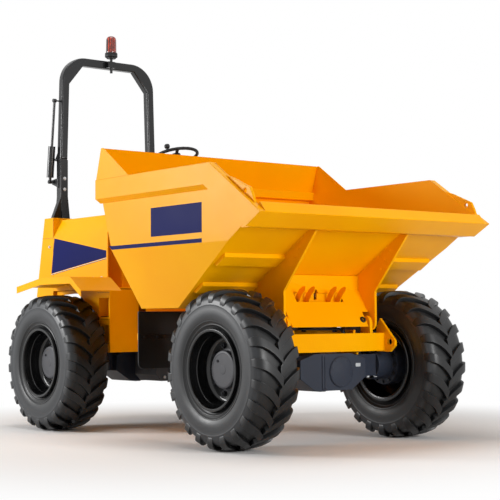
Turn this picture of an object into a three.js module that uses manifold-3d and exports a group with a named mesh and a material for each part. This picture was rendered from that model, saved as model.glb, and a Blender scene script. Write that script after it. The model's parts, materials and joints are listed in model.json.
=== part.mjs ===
// Site dumper: forward-tipping skip, centre-pivot steering, four driven wheels, folding roll bar.
// Millimetres, +X forward, +Y to the operator's left, +Z up. The origin is on the ground under the
// centre pivot, midway between the axles. Every piece that comes in a pair is made by a function
// of `side`, which is +1 on the left and -1 on the right.
import * as THREE from "three";
import { mergeVertices } from "three/addons/utils/BufferGeometryUtils.js";
import Module from "manifold-3d";

// ---------- driving dimensions ----------
const GAP = 0.3; // between faces that touch
const RUNNING = 8; // between a moving piece and what it passes
const PIN_FIT = 0.5; // round a pin, or a rod in its bore

const WHEELBASE = 2505;
const TRACK = 1693; // between the centre planes of the wheels on an axle
const TYRE_RADIUS = 585;
const TYRE_WIDTH = 400;
const RIM_RADIUS = 298.5; // over the flange
const RIM_WALL = 14;
const WHEEL_FACETS = 32;
const HUB_RADIUS = 140;
const HUB_FACE = 83; // hub end, outboard of the wheel's centre plane
const DISC_BACK = 45; // the disc's inner face, inboard of that plane

const SHAFT = { radius: 32, frontEnd: 40, rearEnd: -40 };
const AXLE_BEAM = { half: 75, bottom: 500, top: 670, end: 560 };
const CASING = { low: 405, high: 684, flat: 185, wide: 330, back: 150, front: 165 };

const RAIL = { inner: 300, wall: 20, bottom: 690, top: 860 };
const FRONT_RAIL_START = 180;
const REAR_RAIL_END = -1890;
const REAR_RAIL_START = -330;

const REST = { back: 560, front: 640 }; // pads under the skip's floor

const PIVOT_PIN_RADIUS = 30;
const PIVOT_LUG = { bottom: 665, top: 935, wall: 30, radius: 85, halfWidth: 110 };
const TONGUE = { halfWidth: 80, back: -620 };

const BEAM = { back: 1310, front: 1400, bottom: 695, top: 835, halfWidth: 551, cheek: 22 };

const SKIP_WALL = 8;
const SKIP_HALF_WIDTH = 1097;
const SKIP_FLOOR_HALF_WIDTH = 1000;
const SKIP_CREASE = 1503; // height below which the side walls lean inwards
const SKIP_FLOOR = 1036;
const RIM_TOP = 2069;
const BAND_DEPTH = 155;
const BAND_PROUD = 51;
const HEADBOARD_TOP = 2318;
const HEADBOARD_HALF_WIDTH = 1142;
const LIP_NOSE = [1977, 1678];
const LIP_UNDER = [1814, 1586];
const LIP_TOP = [1914, 1754];

const TIP_PIVOT = [1340, 915];
const TIP_PIN_RADIUS = 25;
const LEG = { inner: 449, wall: 23, radius: 60, front: 1400 };
const LUG = { inner: 400, wall: 30, radius: 55 };
const CROSS_HALF_WIDTH = 385;

const TIP_RAM = {
  base: [420, 760], eye: [1115, 1095], y: 185, bore: 28, barrel: 55, eyeRadius: 42, pin: 20, slidesIn: 0,
};
const STEER_RAM = {
  base: [-520, 250], eye: [105, 235], z: 800, bore: 18, barrel: 32, eyeRadius: 32, pin: 14, mouth: 430,
  slidesIn: 155,
};

const BODY_HALF_WIDTH = 650;
const BODY_WALL = 12;
const BODY_FRONT = -745;
const BODY_FOLD = -1670;
const BODY_TOP_FRONT = 1865;
const BODY_TOP_REAR = 1885;
const BODY_SHOULDER = 1700;
const BODY_TOP_HALF_WIDTH = 575;
const BODY_REAR_TOP = [-1830, 1885];
const BODY_REAR_BOTTOM = [-1977, 1165];
const BODY_BOTTOM = 1215;

const FENDER = { outer: 1050, wall: 6, flange: 58 };
const FENDER_LINE = [[-1620, 1249], [-1200, 1314], [-699, 1314], [-522, 1197]];

const FLOOR = { top: 1230, wall: 10, front: -400, back: -1467, seatBox: -1430 };
const STEP = { front: -760, back: -960, inner: 315, outer: 618, bottom: 672, top: 1214 };

const BONNET_HALF_WIDTH = 440;
const BONNET_CLEARANCE = 6;
const BONNET_SEAT = 1870;
const BONNET_FRONT = -1475;

const ROPS = { x: -1780, tube: 76, halfWidth: 490, topHalfWidth: 470, fold: 2440, top: 3410, corner: 250, gusset: [150, 185] };
const ROPS_HINGE = [ROPS.x - ROPS.tube / 2 - 20, ROPS.fold];
const STRUT = {
  base: [-1875, 2235], eye: [-1790, 2985], y: -568, bore: 12, barrel: 33, eyeRadius: 18, pin: 7, mouth: 330,
  slidesIn: 210,
};
const BEACON = { x: -1708, tail: 3289, base: 3440, top: 3645, radius: 60, lens: 50 };
const ROPS_FOOT = { top: 2092, halfLength: 75, wide: 82 };

const wasm = await Module();
wasm.setup();

// ---------- geometry helpers ----------
function solidOf(geometry) {
  const bare = geometry.index ? geometry.toNonIndexed() : geometry.clone();
  for (const name of Object.keys(bare.attributes)) if (name !== "position") bare.deleteAttribute(name);
  const merged = mergeVertices(bare, 1e-3);
  return new wasm.Manifold(new wasm.Mesh({
    numProp: 3,
    vertProperties: merged.attributes.position.array,
    triVerts: new Uint32Array(merged.index.array),
  }));
}

function geometryOf(solid) {
  const mesh = solid.getMesh();
  const geometry = new THREE.BufferGeometry();
  geometry.setAttribute("position", new THREE.BufferAttribute(mesh.vertProperties, 3));
  geometry.setIndex(new THREE.BufferAttribute(mesh.triVerts, 1));
  return geometry;
}

const join = (...pieces) => geometryOf(pieces.map(solidOf).reduce((a, b) => a.add(b)));
const cut = (piece, ...tools) => geometryOf(tools.map(solidOf).reduce((a, b) => a.subtract(b), solidOf(piece)));
const common = (a, b) => geometryOf(solidOf(a).intersect(solidOf(b)));

// Axes that stand a flat outline up across x, y or z, with its extrusion running along that axis.
const STAND = {
  x: new THREE.Matrix4().makeBasis(
    new THREE.Vector3(0, 1, 0), new THREE.Vector3(0, 0, 1), new THREE.Vector3(1, 0, 0)),
  y: new THREE.Matrix4().makeBasis(
    new THREE.Vector3(1, 0, 0), new THREE.Vector3(0, 0, 1), new THREE.Vector3(0, -1, 0)),
  z: new THREE.Matrix4(),
};

// A plate across `axis`: its outline is [y, z] across x, [x, z] across y and [x, y] across z.
// `holes` are circles, as [a, b, radius].
function plate(axis, outline, from, to, holes = []) {
  const [low, high] = from < to ? [from, to] : [to, from];
  const points = outline.map(([a, b]) => new THREE.Vector2(a, b));
  const shape = new THREE.Shape(THREE.ShapeUtils.area(points) > 0 ? points : points.reverse());
  for (const [a, b, radius] of holes) {
    shape.holes.push(new THREE.Path(arc([a, b], radius, 360, 0, 24).slice(1).map(
      ([u, v]) => new THREE.Vector2(u, v))));
  }
  const geometry = new THREE.ExtrudeGeometry(shape, { depth: high - low, bevelEnabled: false });
  geometry.applyMatrix4(STAND[axis]);
  const shift = axis === "y" ? high : low;
  return geometry.translate(axis === "x" ? shift : 0, axis === "y" ? shift : 0, axis === "z" ? shift : 0);
}

function box(x, y, z) {
  const [sizes, middles] = [[], []];
  for (const [a, b] of [x, y, z]) {
    sizes.push(Math.abs(b - a));
    middles.push((a + b) / 2);
  }
  return new THREE.BoxGeometry(...sizes).translate(...middles);
}

// Points on an arc, from one angle to another in degrees, both ends included.
function arc([a, b], radius, from, to, steps = 8) {
  return Array.from({ length: steps + 1 }, (_, i) => {
    const angle = THREE.MathUtils.degToRad(from + ((to - from) * i) / steps);
    return [a + radius * Math.cos(angle), b + radius * Math.sin(angle)];
  });
}

// Turns a solid made round the y axis so that y runs from `start` to `end`, and puts it at `start`.
function along(geometry, start, end) {
  const direction = new THREE.Vector3(...end).sub(new THREE.Vector3(...start)).normalize();
  const turn = new THREE.Quaternion().setFromUnitVectors(new THREE.Vector3(0, 1, 0), direction);
  return geometry.applyQuaternion(turn).translate(...start);
}

function rod(start, end, radius, facets = 16) {
  const length = new THREE.Vector3(...start).distanceTo(new THREE.Vector3(...end));
  const cylinder = new THREE.CylinderGeometry(radius, radius, length, facets).translate(0, length / 2, 0);
  return along(cylinder, start, end);
}

// A turned solid round the y axis. Its profile is [radius, height] points, lowest height first.
function turned(profile, facets) {
  return new THREE.LatheGeometry(profile.map(([r, h]) => new THREE.Vector2(r, h)), facets);
}

// The outline of a bent sheet: the line itself, then back again `wall` below it.
function strip(line, wall) {
  return [...line, ...line.map(([a, b]) => [a, b - wall]).reverse()];
}

// Moves each edge of a closed outline sideways; a positive distance shrinks a counter-clockwise one.
function inset(outline, distance) {
  const count = outline.length;
  return outline.map((point, i) => {
    const [before, after] = [outline[(i + count - 1) % count], outline[(i + 1) % count]];
    const [u, v] = [unit(before, point), unit(point, after)];
    const [p, q] = [shifted(point, u, distance), shifted(point, v, distance)];
    const turn = u[0] * v[1] - u[1] * v[0];
    if (Math.abs(turn) < 1e-9) return p;
    const step = ((q[0] - p[0]) * v[1] - (q[1] - p[1]) * v[0]) / turn;
    return [p[0] + u[0] * step, p[1] + u[1] * step];
  });
}

function unit([a, b], [c, d]) {
  const length = Math.hypot(c - a, d - b);
  return [(c - a) / length, (d - b) / length];
}

const shifted = ([a, b], [u, v], distance) => [a - v * distance, b + u * distance];

// The point on the line from `a` to `b` at a height, and the height at a place along it.
const atHeight = ([a, b], [c, d], height) => a + ((c - a) * (height - b)) / (d - b);
const atPlace = ([a, b], [c, d], place) => b + ((d - b) * (place - a)) / (c - a);

// ---------- finishes ----------
const finish = (color, roughness, metalness = 0) =>
  new THREE.MeshStandardMaterial({ color, roughness, metalness, flatShading: true });
const FINISH = {
  yellow: finish(0xf9b810, 0.45),
  black: finish(0x17181a, 0.45),
  axle: finish(0x343a48, 0.5),
  rubber: finish(0x202124, 0.9),
  rim: finish(0x1a1b1d, 0.5),
  steel: finish(0xb8babd, 0.25, 1),
  iron: finish(0x3c3e42, 0.6, 0.3),
  vinyl: finish(0x1c1c1e, 0.7),
  plastic: finish(0x222326, 0.6),
  lens: finish(0xd23a12, 0.2),
};

const model = new THREE.Group();

function add(name, material, geometry) {
  const mesh = new THREE.Mesh(geometry, FINISH[material]);
  mesh.name = name;
  model.add(mesh);
}

const SIDES = [["right", -1], ["left", 1]];
const ENDS = [["front", 1], ["rear", -1]];

// ---------- wheels ----------
// Both are turned round y with their outboard side up, and turned half round for the right side.
const FACET_FLAT = 1 / Math.cos(Math.PI / WHEEL_FACETS);

function wheelTurned(profile, radiusScale) {
  return turned(profile.map(([r, y]) => [r * radiusScale, y]), WHEEL_FACETS).rotateY(Math.PI / WHEEL_FACETS);
}

function tyre() {
  const half = TYRE_WIDTH / 2;
  const bead = RIM_RADIUS - RIM_WALL + GAP;
  const outboard = [
    [bead, half - 50], [RIM_RADIUS + 32, half - 15], [RIM_RADIUS + 150, half],
    [TYRE_RADIUS - 40, half - 10], [TYRE_RADIUS - 8, half - 32], [TYRE_RADIUS, half - 110],
  ];
  const inboard = outboard.map(([r, y]) => [r, -y]);
  return wheelTurned([...inboard, ...outboard.reverse(), inboard[0]], FACET_FLAT);
}

// Barrel, dished disc and hub end in one, with the bead seat inside the tyre.
function rim() {
  const half = TYRE_WIDTH / 2;
  const seat = RIM_RADIUS - RIM_WALL;
  const inside = seat - RIM_WALL;
  const edge = half - 10;
  const flange = half - 37;
  return wheelTurned([
    [0, -DISC_BACK], [HUB_RADIUS - 25, -DISC_BACK], [HUB_RADIUS, -20], [inside - 60, 8], [inside, -30],
    [inside, -edge], [RIM_RADIUS, -edge], [RIM_RADIUS, -flange], [seat, 49 - half],
    [seat, half - 49], [RIM_RADIUS, flange], [RIM_RADIUS, edge], [inside + 4, edge],
    [inside - 6, 60], [inside - 40, 24], [HUB_RADIUS + 20, 24], [HUB_RADIUS, 40],
    [HUB_RADIUS, HUB_FACE - 12], [HUB_RADIUS - 12, HUB_FACE], [0, HUB_FACE],
  ], FACET_FLAT);
}

for (const [end, forward] of ENDS) {
  for (const [name, side] of SIDES) {
    const place = (geometry) => geometry.rotateZ(side > 0 ? 0 : Math.PI)
      .translate((forward * WHEELBASE) / 2, (side * TRACK) / 2, TYRE_RADIUS);
    add(`tyre_${end}_${name}`, "rubber", place(tyre()));
    add(`wheel_${end}_${name}`, "rim", place(rim()));
  }
}

// ---------- axles ----------
// A beam with a casing at its middle, whose nose points at the centre pivot, and a hub carrier
// at each end that stops short of the wheel's disc.
function axle(forward) {
  const x = (forward * WHEELBASE) / 2;
  const { half, bottom, top, end } = AXLE_BEAM;
  const disc = TRACK / 2 - DISC_BACK;
  const casing = plate("x", [
    [-CASING.wide, bottom], [-CASING.flat, CASING.low], [CASING.flat, CASING.low],
    [CASING.wide, bottom], [CASING.wide, top - 30], [CASING.flat, CASING.high],
    [-CASING.flat, CASING.high], [-CASING.wide, top - 30],
  ], x - forward * CASING.back, x + forward * CASING.front);
  return join(
    box([x - half, x + half], [-end, end], [bottom, top]),
    casing,
    rod([x, 0, TYRE_RADIUS], [x - forward * (CASING.back + 95), 0, TYRE_RADIUS], 85),
    rod([x, 0, TYRE_RADIUS], [forward > 0 ? SHAFT.frontEnd : x - 200, 0, TYRE_RADIUS], SHAFT.radius),
    ...SIDES.flatMap(([, side]) => [
      rod([x, side * (end - 40), TYRE_RADIUS], [x, side * (end + 120), TYRE_RADIUS], 118),
      rod([x, side * (end + 110), TYRE_RADIUS], [x, side * (disc - RUNNING), TYRE_RADIUS], 165),
      rod([x, side * (end + 110), TYRE_RADIUS], [x, side * (disc - GAP), TYRE_RADIUS], HUB_RADIUS - 35),
    ]),
  );
}
for (const [end, forward] of ENDS) add(`${end}_axle`, "axle", axle(forward));

// ---------- front frame ----------
// The frame's rails drop on to the axle beam.
function rail(side, from, to, axleX) {
  const seat = [axleX - AXLE_BEAM.half - 20, axleX + AXLE_BEAM.half + 20];
  const foot = AXLE_BEAM.top + GAP;
  return plate("y", [
    [from, RAIL.bottom], [seat[0], RAIL.bottom], [seat[0], foot], [seat[1], foot],
    [seat[1], RAIL.bottom], [to, RAIL.bottom], [to, RAIL.top], [from, RAIL.top],
  ], side * RAIL.inner, side * (RAIL.inner + RAIL.wall));
}

function pivotLug(bottom) {
  const { halfWidth, radius, wall } = PIVOT_LUG;
  const outline = [
    [FRONT_RAIL_START + 10, halfWidth], ...arc([0, 0], radius, 90, 270), [FRONT_RAIL_START + 10, -halfWidth],
  ];
  return plate("z", outline, bottom, bottom + wall, [[0, 0, PIVOT_PIN_RADIUS + 1]]);
}

// A ram's pin, held in its lugs across y, or in its fork up z.
const pinAcross = ([x, y, z], half, radius) => rod([x, y - half, z], [x, y + half, z], radius, 24);
const pinUp = ([x, y], z, half, radius) => rod([x, y, z - half], [x, y, z + half], radius, 24);

function tipLug(side) {
  const [x, z] = TIP_PIVOT;
  const outline = [
    [BEAM.back - 20, BEAM.top - 40], [BEAM.front - 2, BEAM.top - 40],
    ...arc([x, z], LUG.radius, 0, 180),
  ];
  return plate("y", outline, side * LUG.inner, side * (LUG.inner + LUG.wall));
}

function beamCheek(side) {
  const outline = [
    [BEAM.back, BEAM.bottom - 8], [1460, BEAM.bottom - 8], [1515, 735], [1515, 775], [1350, 949],
    [BEAM.back, 880],
  ];
  return plate("y", outline, side * (BEAM.halfWidth - 1), side * (BEAM.halfWidth + BEAM.cheek),
    [[1457, 765, 25]]);
}

const SKIP_SIDE = [
  [-126, RIM_TOP], [-116, RIM_TOP - BAND_DEPTH], [23, SKIP_CREASE], [303, SKIP_FLOOR], [799, SKIP_FLOOR],
  [1896, 1714.5], [1896, 1732], [1393, RIM_TOP],
];
const chuteUnder = (x) => atPlace(SKIP_SIDE[4], SKIP_SIDE[5], x) - GAP * 1.4;

const FLAP = { x: 306, wall: 10, inner: 450, outer: 1030, bottom: 570, top: 1015, corner: 45 };

function frontChassis() {
  const { base, y, eyeRadius } = TIP_RAM;
  const pieces = [
    box([FRONT_RAIL_START, FRONT_RAIL_START + 25], [-RAIL.inner - 1, RAIL.inner + 1], [640, 960]),
    box([BEAM.back, BEAM.front], [-BEAM.halfWidth, BEAM.halfWidth], [BEAM.bottom, BEAM.top]),
    box([base[0] - 95, base[0] - eyeRadius - RUNNING], [-RAIL.inner - 1, RAIL.inner + 1],
      [RAIL.bottom, RAIL.top - 20]),
    pivotLug(PIVOT_LUG.bottom), pivotLug(PIVOT_LUG.top - PIVOT_LUG.wall),
  ];
  for (const [, side] of SIDES) {
    pieces.push(
      rail(side, FRONT_RAIL_START, BEAM.back + 5, WHEELBASE / 2), tipLug(side), beamCheek(side),
      rod([TIP_PIVOT[0], side * (CROSS_HALF_WIDTH + 2), TIP_PIVOT[1]],
        [TIP_PIVOT[0], side * (LEG.inner + LEG.wall + 12), TIP_PIVOT[1]], TIP_PIN_RADIUS, 24),
      box([FLAP.x - FLAP.wall - 40, FLAP.x - FLAP.wall - GAP], [side * (RAIL.inner + 5), side * (FLAP.outer - 20)],
        [790, 845]),
    );
    pieces.push(box([REST.back, REST.front], [side * RAIL.inner, side * (RAIL.inner + RAIL.wall)],
      [RAIL.top - 5, SKIP_FLOOR - GAP]));
    pieces.push(box([REST.back, REST.front], [side * (RAIL.inner - 20), side * (RAIL.inner + 45)],
      [SKIP_FLOOR - 20, SKIP_FLOOR - GAP]));
    for (const edge of [-1, 1]) {
      const inner = side * y + edge * (eyeRadius + 3);
      pieces.push(plate("y", [
        [base[0] - 70, RAIL.bottom + 10], [base[0] + 10, base[1] - 45],
        ...arc(base, 45, -70, 100, 6), [base[0] - 70, RAIL.top - 25],
      ], inner, inner + edge * 12));
    }
    pieces.push(pinAcross([base[0], side * y, base[1]], eyeRadius + 15, TIP_RAM.pin));
  }
  const fork = STEER_RAM.eyeRadius - 2;
  for (const z of [STEER_RAM.z - fork - 12, STEER_RAM.z + fork]) {
    pieces.push(plate("z", [
      [FRONT_RAIL_START + 5, 170], [FRONT_RAIL_START + 5, 296], [120, 292],
      ...arc(STEER_RAM.eye, 34, 60, 250, 6),
    ], z, z + 12));
  }
  return join(...pieces);
}
add("front_chassis", "yellow", frontChassis());

function mudFlap(side) {
  const { inner, outer, bottom, top, corner } = FLAP;
  const [a, b] = [side * inner, side * outer].sort((p, q) => p - q);
  return plate("x", [
    ...arc([a + corner, bottom + corner], corner, 180, 270, 4),
    ...arc([b - corner, bottom + corner], corner, 270, 360, 4), [b, top], [a, top],
  ], FLAP.x - FLAP.wall, FLAP.x);
}
for (const [name, side] of SIDES) add(`mud_flap_${name}`, "rubber", mudFlap(side));

// ---------- skip ----------
// A side outline crossed with an end outline gives the tub, outside and inside.
function tubSolid(distance) {
  const lift = distance ? 400 : 0;
  const side = inset(SKIP_SIDE, distance);
  const sideOpen = distance
    ? [[side[0][0], RIM_TOP + lift], ...side.slice(0, 5), [2300, atPlace(side[4], side[5], 2300)],
      [2300, RIM_TOP + lift]]
    : side;
  const [w, f, t] = [SKIP_HALF_WIDTH, SKIP_FLOOR_HALF_WIDTH, RIM_TOP + 500];
  const end = inset([[-f, SKIP_FLOOR], [f, SKIP_FLOOR], [w, SKIP_CREASE], [w, t], [-w, t], [-w, SKIP_CREASE]],
    distance);
  return common(plate("y", sideOpen, -1300, 1300), plate("x", end, -600, 2400));
}
add("skip_tub", "yellow", cut(tubSolid(0), tubSolid(SKIP_WALL)));

// The rim band down each side, its slanted front arm, the folded lip and the front corner lugs.
function band(side) {
  const [nose, under] = [LIP_NOSE, LIP_UNDER];
  const corner = SKIP_SIDE[7];
  const low = RIM_TOP - BAND_DEPTH;
  const knee = [under[0] + ((corner[0] - nose[0]) * (low - under[1])) / (corner[1] - nose[1]), low];
  const outline = [[-134, low], knee, under, nose, corner, [-134, RIM_TOP]];
  return plate("y", outline, side * (SKIP_HALF_WIDTH + GAP), side * (SKIP_HALF_WIDTH + BAND_PROUD));
}

function bandFoot(side) {
  const low = RIM_TOP - BAND_DEPTH;
  const [near, far] = [SKIP_HALF_WIDTH + GAP, SKIP_HALF_WIDTH + BAND_PROUD];
  return plate("x", [[side * near, low - 34], [side * far, low + 1], [side * near, low + 1]], -134, 1330);
}

function frontLug(side) {
  return plate("y", [[1540, 1968], [1640, 1935], [1828, 1856], [1858, 1800], [1880, 1735], [1700, 1800]],
    side * (SKIP_HALF_WIDTH + GAP), side * (SKIP_HALF_WIDTH + 22), [[1775, 1836, 20]]);
}

function skipRim() {
  const tip = SKIP_SIDE[5];
  const lip = plate("y", [
    [1700, LIP_UNDER[1]], LIP_UNDER, LIP_NOSE, LIP_TOP, [tip[0] + GAP, LIP_TOP[1] - 20],
    [tip[0] + GAP, chuteUnder(tip[0])], [1700, chuteUnder(1700)],
  ], -SKIP_HALF_WIDTH - 2, SKIP_HALF_WIDTH + 2);
  return join(lip, ...SIDES.flatMap(([, side]) => [band(side), bandFoot(side), frontLug(side)]));
}
add("skip_rim", "yellow", skipRim());

function headboard() {
  const base = RIM_TOP + GAP;
  const [w, t] = [HEADBOARD_HALF_WIDTH, SKIP_WALL];
  const lean = [[-134, base], [-134 + t, base], [-59 + t, HEADBOARD_TOP], [-59, HEADBOARD_TOP]];
  const inside = SKIP_SIDE[1][0] + SKIP_WALL + GAP;
  return join(
    plate("y", lean, -w, w),
    box([inside, -50], [-SKIP_HALF_WIDTH + SKIP_WALL + GAP, SKIP_HALF_WIDTH - SKIP_WALL - GAP],
      [RIM_TOP - 62, base + t]),
    box([-132, -50], [-SKIP_HALF_WIDTH, SKIP_HALF_WIDTH], [base, base + t]),
    ...SIDES.map(([, side]) => plate("y", [
      [-134, base], [334, base], [-30, HEADBOARD_TOP], [-59, HEADBOARD_TOP],
    ], side * (w - t), side * w)),
  );
}
add("skip_headboard", "yellow", headboard());

// ---------- skip legs and cross member ----------
function leg(side) {
  const [x, z] = TIP_PIVOT;
  const under = LIP_UNDER[1] - GAP;
  const meet = atHeight(SKIP_SIDE[4], SKIP_SIDE[5], LIP_UNDER[1]) - GAP;
  const outline = [
    [LEG.front, z], [LEG.front, 1158], [1768, under], [meet, under],
    [1000, chuteUnder(1000)], [1010, 1120], ...arc([x, z], LEG.radius, 180, 360),
  ];
  return plate("y", outline.slice(0, -1), side * LEG.inner, side * (LEG.inner + LEG.wall),
    [[x, z, TIP_PIN_RADIUS + 1]]);
}

const WEB = 1200;
const TIP_LUG_GAP = 16; // from a tipping ram's eye to the lugs beside it
// The inclined plate between the legs runs from the web down to its foot, and has a window that the
// fingers stand out of. Above `wide` it reaches the legs; below, it passes between the pivot's lugs.
const APRON = {
  floor: 1000, wall: 12, top: 1173, foot: [LEG.front, 885], wide: 1000, window: [1078, 1150], halfWindow: 238,
  fingers: [111, 206],
};
const FINGER = [
  [1208, 1020], [1208, 1072], [1232, 1130], [1268, 1172], [1308, 1193], [1334, 1196], [1343, 1186], [1338, 1165],
  [1300, 1130], [1272, 1088], [1250, 1020],
];

function skipLegs() {
  const { eye, y, eyeRadius } = TIP_RAM;
  const { wall, floor, top, foot, wide, window, halfWindow, fingers } = APRON;
  const face = (z) => atHeight(foot, [WEB + wall, top], z);
  const apron = (low, high, halfWidth) => plate("y", [
    [face(low), low], [face(high), high], [face(high) - wall * 1.2, high], [face(low) - wall * 1.2, low],
  ], -halfWidth, halfWidth);
  const sheet = cut(
    join(apron(foot[1], top, CROSS_HALF_WIDTH), apron(wide, top, LEG.inner + 1)),
    plate("y", [
      [face(window[0]) + 20, window[0] + 12], [face(window[1]) + 20, window[1] + 12],
      [face(window[1]) - 30, window[1] - 18], [face(window[0]) - 30, window[0] - 18],
    ], -halfWindow, halfWindow),
  );
  const pieces = [
    box([WEB, WEB + wall], [-LEG.inner - 1, LEG.inner + 1], [floor, chuteUnder(WEB)]),
    box([WEB, face(floor) - wall * 0.6], [-CROSS_HALF_WIDTH, CROSS_HALF_WIDTH], [floor, floor + wall]),
    sheet,
  ];
  for (const [, side] of SIDES) {
    pieces.push(leg(side), ...fingers.map((middle) => plate("y", FINGER, side * middle - 5, side * middle + 5)));
    for (const edge of [-1, 1]) {
      const inner = side * y + edge * (eyeRadius + TIP_LUG_GAP);
      pieces.push(plate("y", [
        [WEB + 5, floor + 20], [WEB + 5, 1165], ...arc(eye, 46, 100, 260, 6),
      ], inner, inner + edge * wall));
    }
  }
  return cut(join(...pieces), box([WEB - 5, WEB + 30], [-14, 14], [1095, 1175]));
}
add("skip_legs", "yellow", skipLegs());

// ---------- rams ----------
// A ram is a barrel with a blind bore, whose base eye turns on a pin of the piece that holds it, and
// a rod with its own eye. The rod's eye is where the linkage is opened, so it has its pin's stubs and
// stands clear between its lugs.
function ramBarrel(start, end, ram, pinAxis) {
  const at = pointsAlong(start, end);
  const blind = blindDepth(ram);
  return cut(
    join(
      cut(rod(at(ram.eyeRadius + 22), at(ram.mouth), ram.barrel),
        rod(at(blind), at(ram.mouth + 20), ram.bore + PIN_FIT)),
      rod(at(0), at(ram.eyeRadius + 30), ram.eyeRadius * 0.75),
      eye(start, ram, pinAxis),
    ),
    pinHole(start, ram, pinAxis),
  );
}

function ramRod(start, end, ram, pinAxis, stub = ram.eyeRadius - 3) {
  const at = pointsAlong(start, end);
  return join(
    rod(at(blindDepth(ram) + ram.slidesIn + 12), end, ram.bore),
    eye(end, ram, pinAxis),
    throughRod(end, stub, ram.pin, pinAxis, 24),
  );
}

function pointsAlong(start, end) {
  const axis = new THREE.Vector3(...end).sub(new THREE.Vector3(...start)).normalize();
  return (distance) => new THREE.Vector3(...start).addScaledVector(axis, distance).toArray();
}

const blindDepth = ({ mouth, barrel }) => Math.min(mouth * 0.25, barrel * 3);

function throughRod(centre, half, radius, axis, facets) {
  const reach = new THREE.Vector3(...axis).multiplyScalar(half);
  const middle = new THREE.Vector3(...centre);
  return rod(middle.clone().sub(reach).toArray(), middle.clone().add(reach).toArray(), radius, facets);
}

const eye = (centre, { eyeRadius }, axis) => throughRod(centre, eyeRadius - 3, eyeRadius, axis, 24);
const pinHole = (centre, { eyeRadius, pin }, axis) => throughRod(centre, eyeRadius + 5, pin + PIN_FIT, axis, 24);

for (const [name, side] of SIDES) {
  const lift = ([x, z]) => [x, side * TIP_RAM.y, z];
  const [start, end] = [lift(TIP_RAM.base), lift(TIP_RAM.eye)];
  const mouth = Math.hypot(end[0] - start[0], end[2] - start[2]) - TIP_RAM.eyeRadius - 30;
  const ram = { ...TIP_RAM, mouth };
  add(`tip_ram_barrel_${name}`, "black", ramBarrel(start, end, ram, [0, 1, 0]));
  add(`tip_ram_rod_${name}`, "steel", ramRod(start, end, ram, [0, 1, 0], ram.eyeRadius + TIP_LUG_GAP - 2));
}

const steerStart = [...STEER_RAM.base, STEER_RAM.z];
const steerEnd = [...STEER_RAM.eye, STEER_RAM.z];
add("steer_ram_barrel", "black", ramBarrel(steerStart, steerEnd, STEER_RAM, [0, 0, 1]));
add("steer_ram_rod", "steel", ramRod(steerStart, steerEnd, STEER_RAM, [0, 0, 1]));

// ---------- rear frame ----------
function rearChassis() {
  const { halfWidth, back } = TONGUE;
  const low = PIVOT_LUG.bottom + PIVOT_LUG.wall + 5;
  const high = PIVOT_LUG.top - PIVOT_LUG.wall - 5;
  const throat = [
    [back, -RAIL.inner - 1], [REAR_RAIL_START, -RAIL.inner - 1], [-150, -halfWidth],
    [-150, halfWidth], [REAR_RAIL_START, RAIL.inner + 1], [back, RAIL.inner + 1],
  ];
  const tongue = [[back, -halfWidth], ...arc([0, 0], halfWidth, -90, 90), [back, halfWidth]];
  const pieces = [
    plate("z", tongue, low, high),
    plate("z", throat, low, low + 15), plate("z", throat, high - 15, high),
    rod([0, 0, 640], [0, 0, 960], PIVOT_PIN_RADIUS, 24),
    box([-1120, -1105], [-RAIL.inner - 1, RAIL.inner + 1], [RAIL.bottom + 70, RAIL.top - 40]),
    box([REAR_RAIL_END, REAR_RAIL_END + 20], [-RAIL.inner - 1, RAIL.inner + 1], [RAIL.bottom, RAIL.top]),
  ];
  for (const [, side] of SIDES) pieces.push(rail(side, REAR_RAIL_END, REAR_RAIL_START, -WHEELBASE / 2));
  const fork = STEER_RAM.eyeRadius - 2;
  for (const z of [STEER_RAM.z - fork - 12, STEER_RAM.z + fork]) {
    pieces.push(plate("z", [
      [-620, RAIL.inner + 2], [-620, 215], ...arc(STEER_RAM.base, 34, 250, 420, 6), [-470, RAIL.inner + 2],
    ], z, z + 12));
  }
  pieces.push(pinUp(STEER_RAM.base, STEER_RAM.z, STEER_RAM.eyeRadius + 10, STEER_RAM.pin));
  return join(...pieces);
}
add("rear_chassis", "yellow", rearChassis());

// ---------- engine, gearbox, tank and ballast ----------
const SHELF = RAIL.top + GAP;
add("engine_block", "iron", join(
  box([-1850, -1490], [-255, 255], [790, 1480]),
  box([-1780, -1530], [-RAIL.inner - 12, RAIL.inner + 12], [SHELF, SHELF + 40]),
));

// The gearbox hangs between the rails on two ears and drives both shafts.
add("gearbox", "iron", join(
  plate("x", [
    [-205, 470], [-150, 415], [150, 415], [205, 470], [205, 800], [-205, 800],
  ], -1000, -660),
  box([-980, -700], [-RAIL.inner - 12, RAIL.inner + 12], [SHELF, SHELF + 25]),
  box([-980, -720], [-150, 150], [795, SHELF + 5]),
  rod([-665, 0, TYRE_RADIUS], [SHAFT.rearEnd, 0, TYRE_RADIUS], SHAFT.radius),
));

function counterweight() {
  const face = BODY_REAR_BOTTOM[0];
  const hitch = box([face - 10, face + 95], [-90, 90], [770, 900]);
  return cut(join(
    plate("y", [
      [face, 720], [face + 40, 640], [REAR_RAIL_END - GAP, 640], [REAR_RAIL_END - GAP, 1148], [face, 1148],
    ], -610, 610),
  ), hitch);
}
add("counterweight", "yellow", counterweight());

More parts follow.
